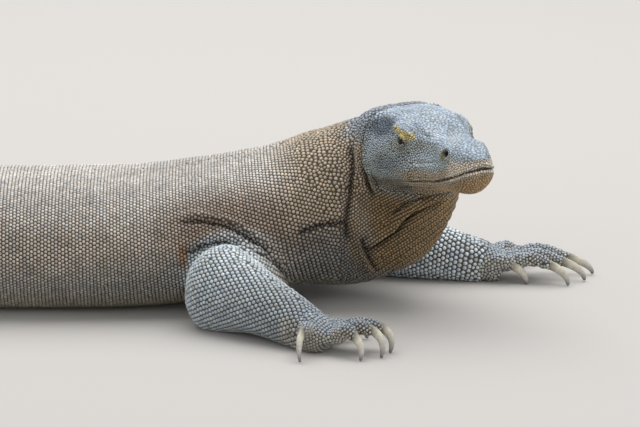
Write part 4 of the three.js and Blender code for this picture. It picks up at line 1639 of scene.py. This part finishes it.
def claw_finish():
    """Worn horn, stained at the root and grey at the tip."""
    finish = Finish("claw_horn", Specular_IOR_Level=0.5, Coat_Roughness=0.3)
    along = finish.attribute("along")
    grain = finish.noise(260, 4)
    streak = finish.noise(900, 2)
    colour = finish.ramp(along, CLAW_TONES)
    colour = finish.mix((grain - 0.42) * 0.9, colour, CLAW_STAIN)
    finish.set(Base_Color=colour, Roughness=0.36 + streak * 0.25, Coat_Weight=0.15)
    finish.bump(streak, 0.25, 0.0003)
    return finish.material


def eye_finish():
    """A wet eye: a dark pupil in a brown iris."""
    finish = Finish("eye_wet", Specular_IOR_Level=0.25, Coat_Roughness=0.02)
    spread = finish.attribute("spread")
    flecks = finish.noise(700, 3)
    iris = finish.ramp(spread + (flecks - 0.5) * 0.05, EYE_TONES)
    finish.set(Base_Color=iris, Roughness=0.10 + flecks * 0.06, Coat_Weight=0.15)
    return finish.material


def claw_mesh(name, points):
    """A claw that leaves its digit in the digit's direction and bends down to its tip."""
    before, start, tip = (np.array(p, float) for p in points[1:])
    lead = unit(start - before)
    chord = np.linalg.norm(tip - start)
    arch = lead * CLAW_ARCH * chord + UP * CLAW_LIFT * CLAW_ARCH * chord
    knee = start + CLAW_KNEE * (tip - start) + arch
    t = np.linspace(-CLAW_ROOT, 1, CLAW_RINGS)[:, None]
    path = (1 - t) ** 2 * start + 2 * t * (1 - t) * knee + t * t * tip
    heading = unit(2 * (1 - t) * (knee - start) + 2 * t * (tip - knee))
    across = unit(np.cross(UP, lead))
    rise = unit(np.cross(heading, across))
    angle = np.linspace(0, FULL_TURN, CLAW_SIDES, endpoint=False)
    width = CLAW_RADIUS * (1 - (1 - CLAW_TIP) * np.clip(t, 0, 1) ** CLAW_TAPER)
    deep = CLAW_DEEP + CLAW_KEEL * np.cos(angle)
    place = path[:, None] + across * (CLAW_WIDE * width * np.sin(angle))[..., None]
    place = place + rise[:, None] * (deep * width * np.cos(angle))[..., None]
    ends = np.vstack([path[0], path[-1] + heading[-1] * CLAW_CAP])
    place = np.vstack([place.reshape(-1, 3), ends])
    place[:, 2] = np.maximum(place[:, 2], CLAW_FLOOR)
    faces = ring_faces(CLAW_RINGS, CLAW_SIDES)[:, ::-1]
    along = np.concatenate([np.repeat(np.clip(t[:, 0], 0, 1), CLAW_SIDES), [0, 1]])
    return mesh_piece(name, place, faces, None, {"along": along})


def eye_mesh(name, side):
    """A smooth eyeball; spread is the angle from its outward pole, from 0 to 1."""
    centre, (along, across, out) = eye_axes(side)
    turn = np.repeat(np.linspace(0, math.pi, EYE_RINGS + 2)[1:-1], EYE_SIDES)
    angle = np.tile(np.linspace(0, FULL_TURN, EYE_SIDES, endpoint=False), EYE_RINGS)
    turn = np.append(turn, [0, math.pi])[:, None]
    angle = np.append(angle, [0, 0])[:, None]
    cornea = 1 + CORNEA_HEIGHT * np.exp(-(turn / CORNEA_WIDTH) ** 2)
    ray = out * np.cos(turn) + (along * np.cos(angle) + across * np.sin(angle)) * np.sin(turn)
    faces = ring_faces(EYE_RINGS, EYE_SIDES)[:, ::-side]
    return mesh_piece(name, centre + EYE_RADIUS * cornea * ray, faces, None, {"spread": turn[:, 0] / math.pi})


def adopt(piece, material, nodes=()):
    """Gives a piece its finish, its body and the CAD nodes that it stands for."""
    piece.data.materials.append(material)
    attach(piece, "root")
    if nodes:
        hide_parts(*nodes)
    return piece


TONE_RANGE = (0.004, 0.95)
SHADE_SPREAD = 0.13  # how far the scales' tones stray in brightness, and in warmth
SHADE_RANGE = (0.72, 1.3)
WARMTH_SPREAD = 0.03
HEAD_WARMTH = 1.8


def tint(laid):
    """Gives every scale its height and its tone, each a little off its neighbours'."""
    laid["vigour"] = rng.uniform(*VARIETY, len(laid["gap"]))
    tone = hide_tone(laid["place"], laid["facing"])
    shade = rng.normal(1.0, SHADE_SPREAD, len(tone))
    warmth = rng.normal(0.0, WARMTH_SPREAD, len(tone))
    warmth = warmth * np.where(laid["region"] == "head", HEAD_WARMTH, 1.0)
    tone = tone * np.clip(shade, *SHADE_RANGE)[:, None] * (1 + np.outer(warmth, [1, 0.1, -1]))
    laid["tone"] = np.clip(tone, *TONE_RANGE)
    laid["soft"] = softness(laid["place"], laid["facing"])


tint(scales)
scale_material = scale_finish()
for region in ("head", "body", *LEGS):
    for number, chosen in enumerate(split_evenly(region), 1):
        adopt(scale_mesh(f"scales_{region}_{number}", chosen), scale_material)

skin = mesh_piece("skin", surface.place, surface.faces)
skin.modifiers.new("halves", "TRIANGULATE")
lighten = skin.modifiers.new("lighten", "DECIMATE")
lighten.ratio = SKIN_TRIANGLES / (2 * len(surface.faces))
place, faces = evaluated(skin)
near = [skin_tree.find_nearest(p)[2] for p in place.tolist()]
facing = facing_of(np.array(near))
tone = np.clip(hide_tone(place, facing), *TONE_RANGE)
skin = mesh_piece("skin", place, faces, {"tone": tone}, {"soft": softness(place, facing)})
flesh = ["head", "neck", "trunk", "tail_1", "tail_2", "tail_3", "tail_4"]
flesh += [f"{leg}_{part}" for leg in LEGS for part in ("upper", "lower", "foot")]
adopt(skin, skin_finish(), flesh)

claw_material = claw_finish()
for leg, parts in LEGS.items():
    for number, points in enumerate(parts["digits"], 1):
        claw = claw_mesh(f"horn_{leg}_{number}", points)
        adopt(claw, claw_material, [f"claw_{leg}_{number}"])
eye_material = eye_finish()
for side, name in zip(BOTH_SIDES, ("right", "left")):
    adopt(eye_mesh(f"eyeball_{name}", side), eye_material, [f"eye_{name}"])


# The stage is in metres and degrees. Soft lamps: name, place, turn, size and power in watts.
LAMPS = (
    ("sky_panel", (0.1, 1.3, 3.6), (-20, 0, 0), 5.0, 215),
    ("right_fill", (4.2, -2.2, 1.3), (72, 0, 62), 2.6, 60),
    ("front_fill", (-1.6, -4.0, 2.2), (66, 0, -22), 3.0, 34),
)
SKY_TONE = (0.95, 0.98, 1.0, 1)
SKY_STRENGTH = 0.72
FLOOR_SIZE = 40
FLOOR_TONE = (0.44, 0.42, 0.40, 1)
CAMERA_PLACE = (0.325, -6.7972, 1.6761)
CAMERA_TILT = 77
LENS = 315
FILM_WIDTH = 36
FAR_CLIP = 60


def stage():
    """A plain pale floor, soft light from above and the camera."""
    bpy.ops.mesh.primitive_plane_add(size=FLOOR_SIZE)
    floor = bpy.context.object
    floor.name = "floor"
    finish = Finish("floor_plain", Roughness=0.9, Specular_IOR_Level=0.1)
    finish.set(Base_Color=FLOOR_TONE)
    floor.data.materials.append(finish.material)
    for name, place, turn, size, power in LAMPS:
        lamp = bpy.data.lights.new(name, "AREA")
        lamp.size = size
        lamp.energy = power
        holder = bpy.data.objects.new(name, lamp)
        holder.location = place
        holder.rotation_euler = [math.radians(a) for a in turn]
        bpy.context.scene.collection.objects.link(holder)
    world = bpy.data.worlds.new("studio")
    world.use_nodes = True
    sky = world.node_tree.nodes["Background"]
    sky.inputs["Color"].default_value = SKY_TONE
    sky.inputs["Strength"].default_value = SKY_STRENGTH
    bpy.context.scene.world = world
    lens = bpy.data.cameras.new("camera")
    lens.lens = LENS
    lens.sensor_width = FILM_WIDTH
    lens.clip_end = FAR_CLIP
    camera = bpy.data.objects.new("camera", lens)
    camera.location = CAMERA_PLACE
    camera.rotation_euler = (math.radians(CAMERA_TILT), 0, 0)
    bpy.context.scene.collection.objects.link(camera)
    bpy.context.scene.camera = camera
    bpy.context.scene.view_settings.view_transform = "Standard"


stage()
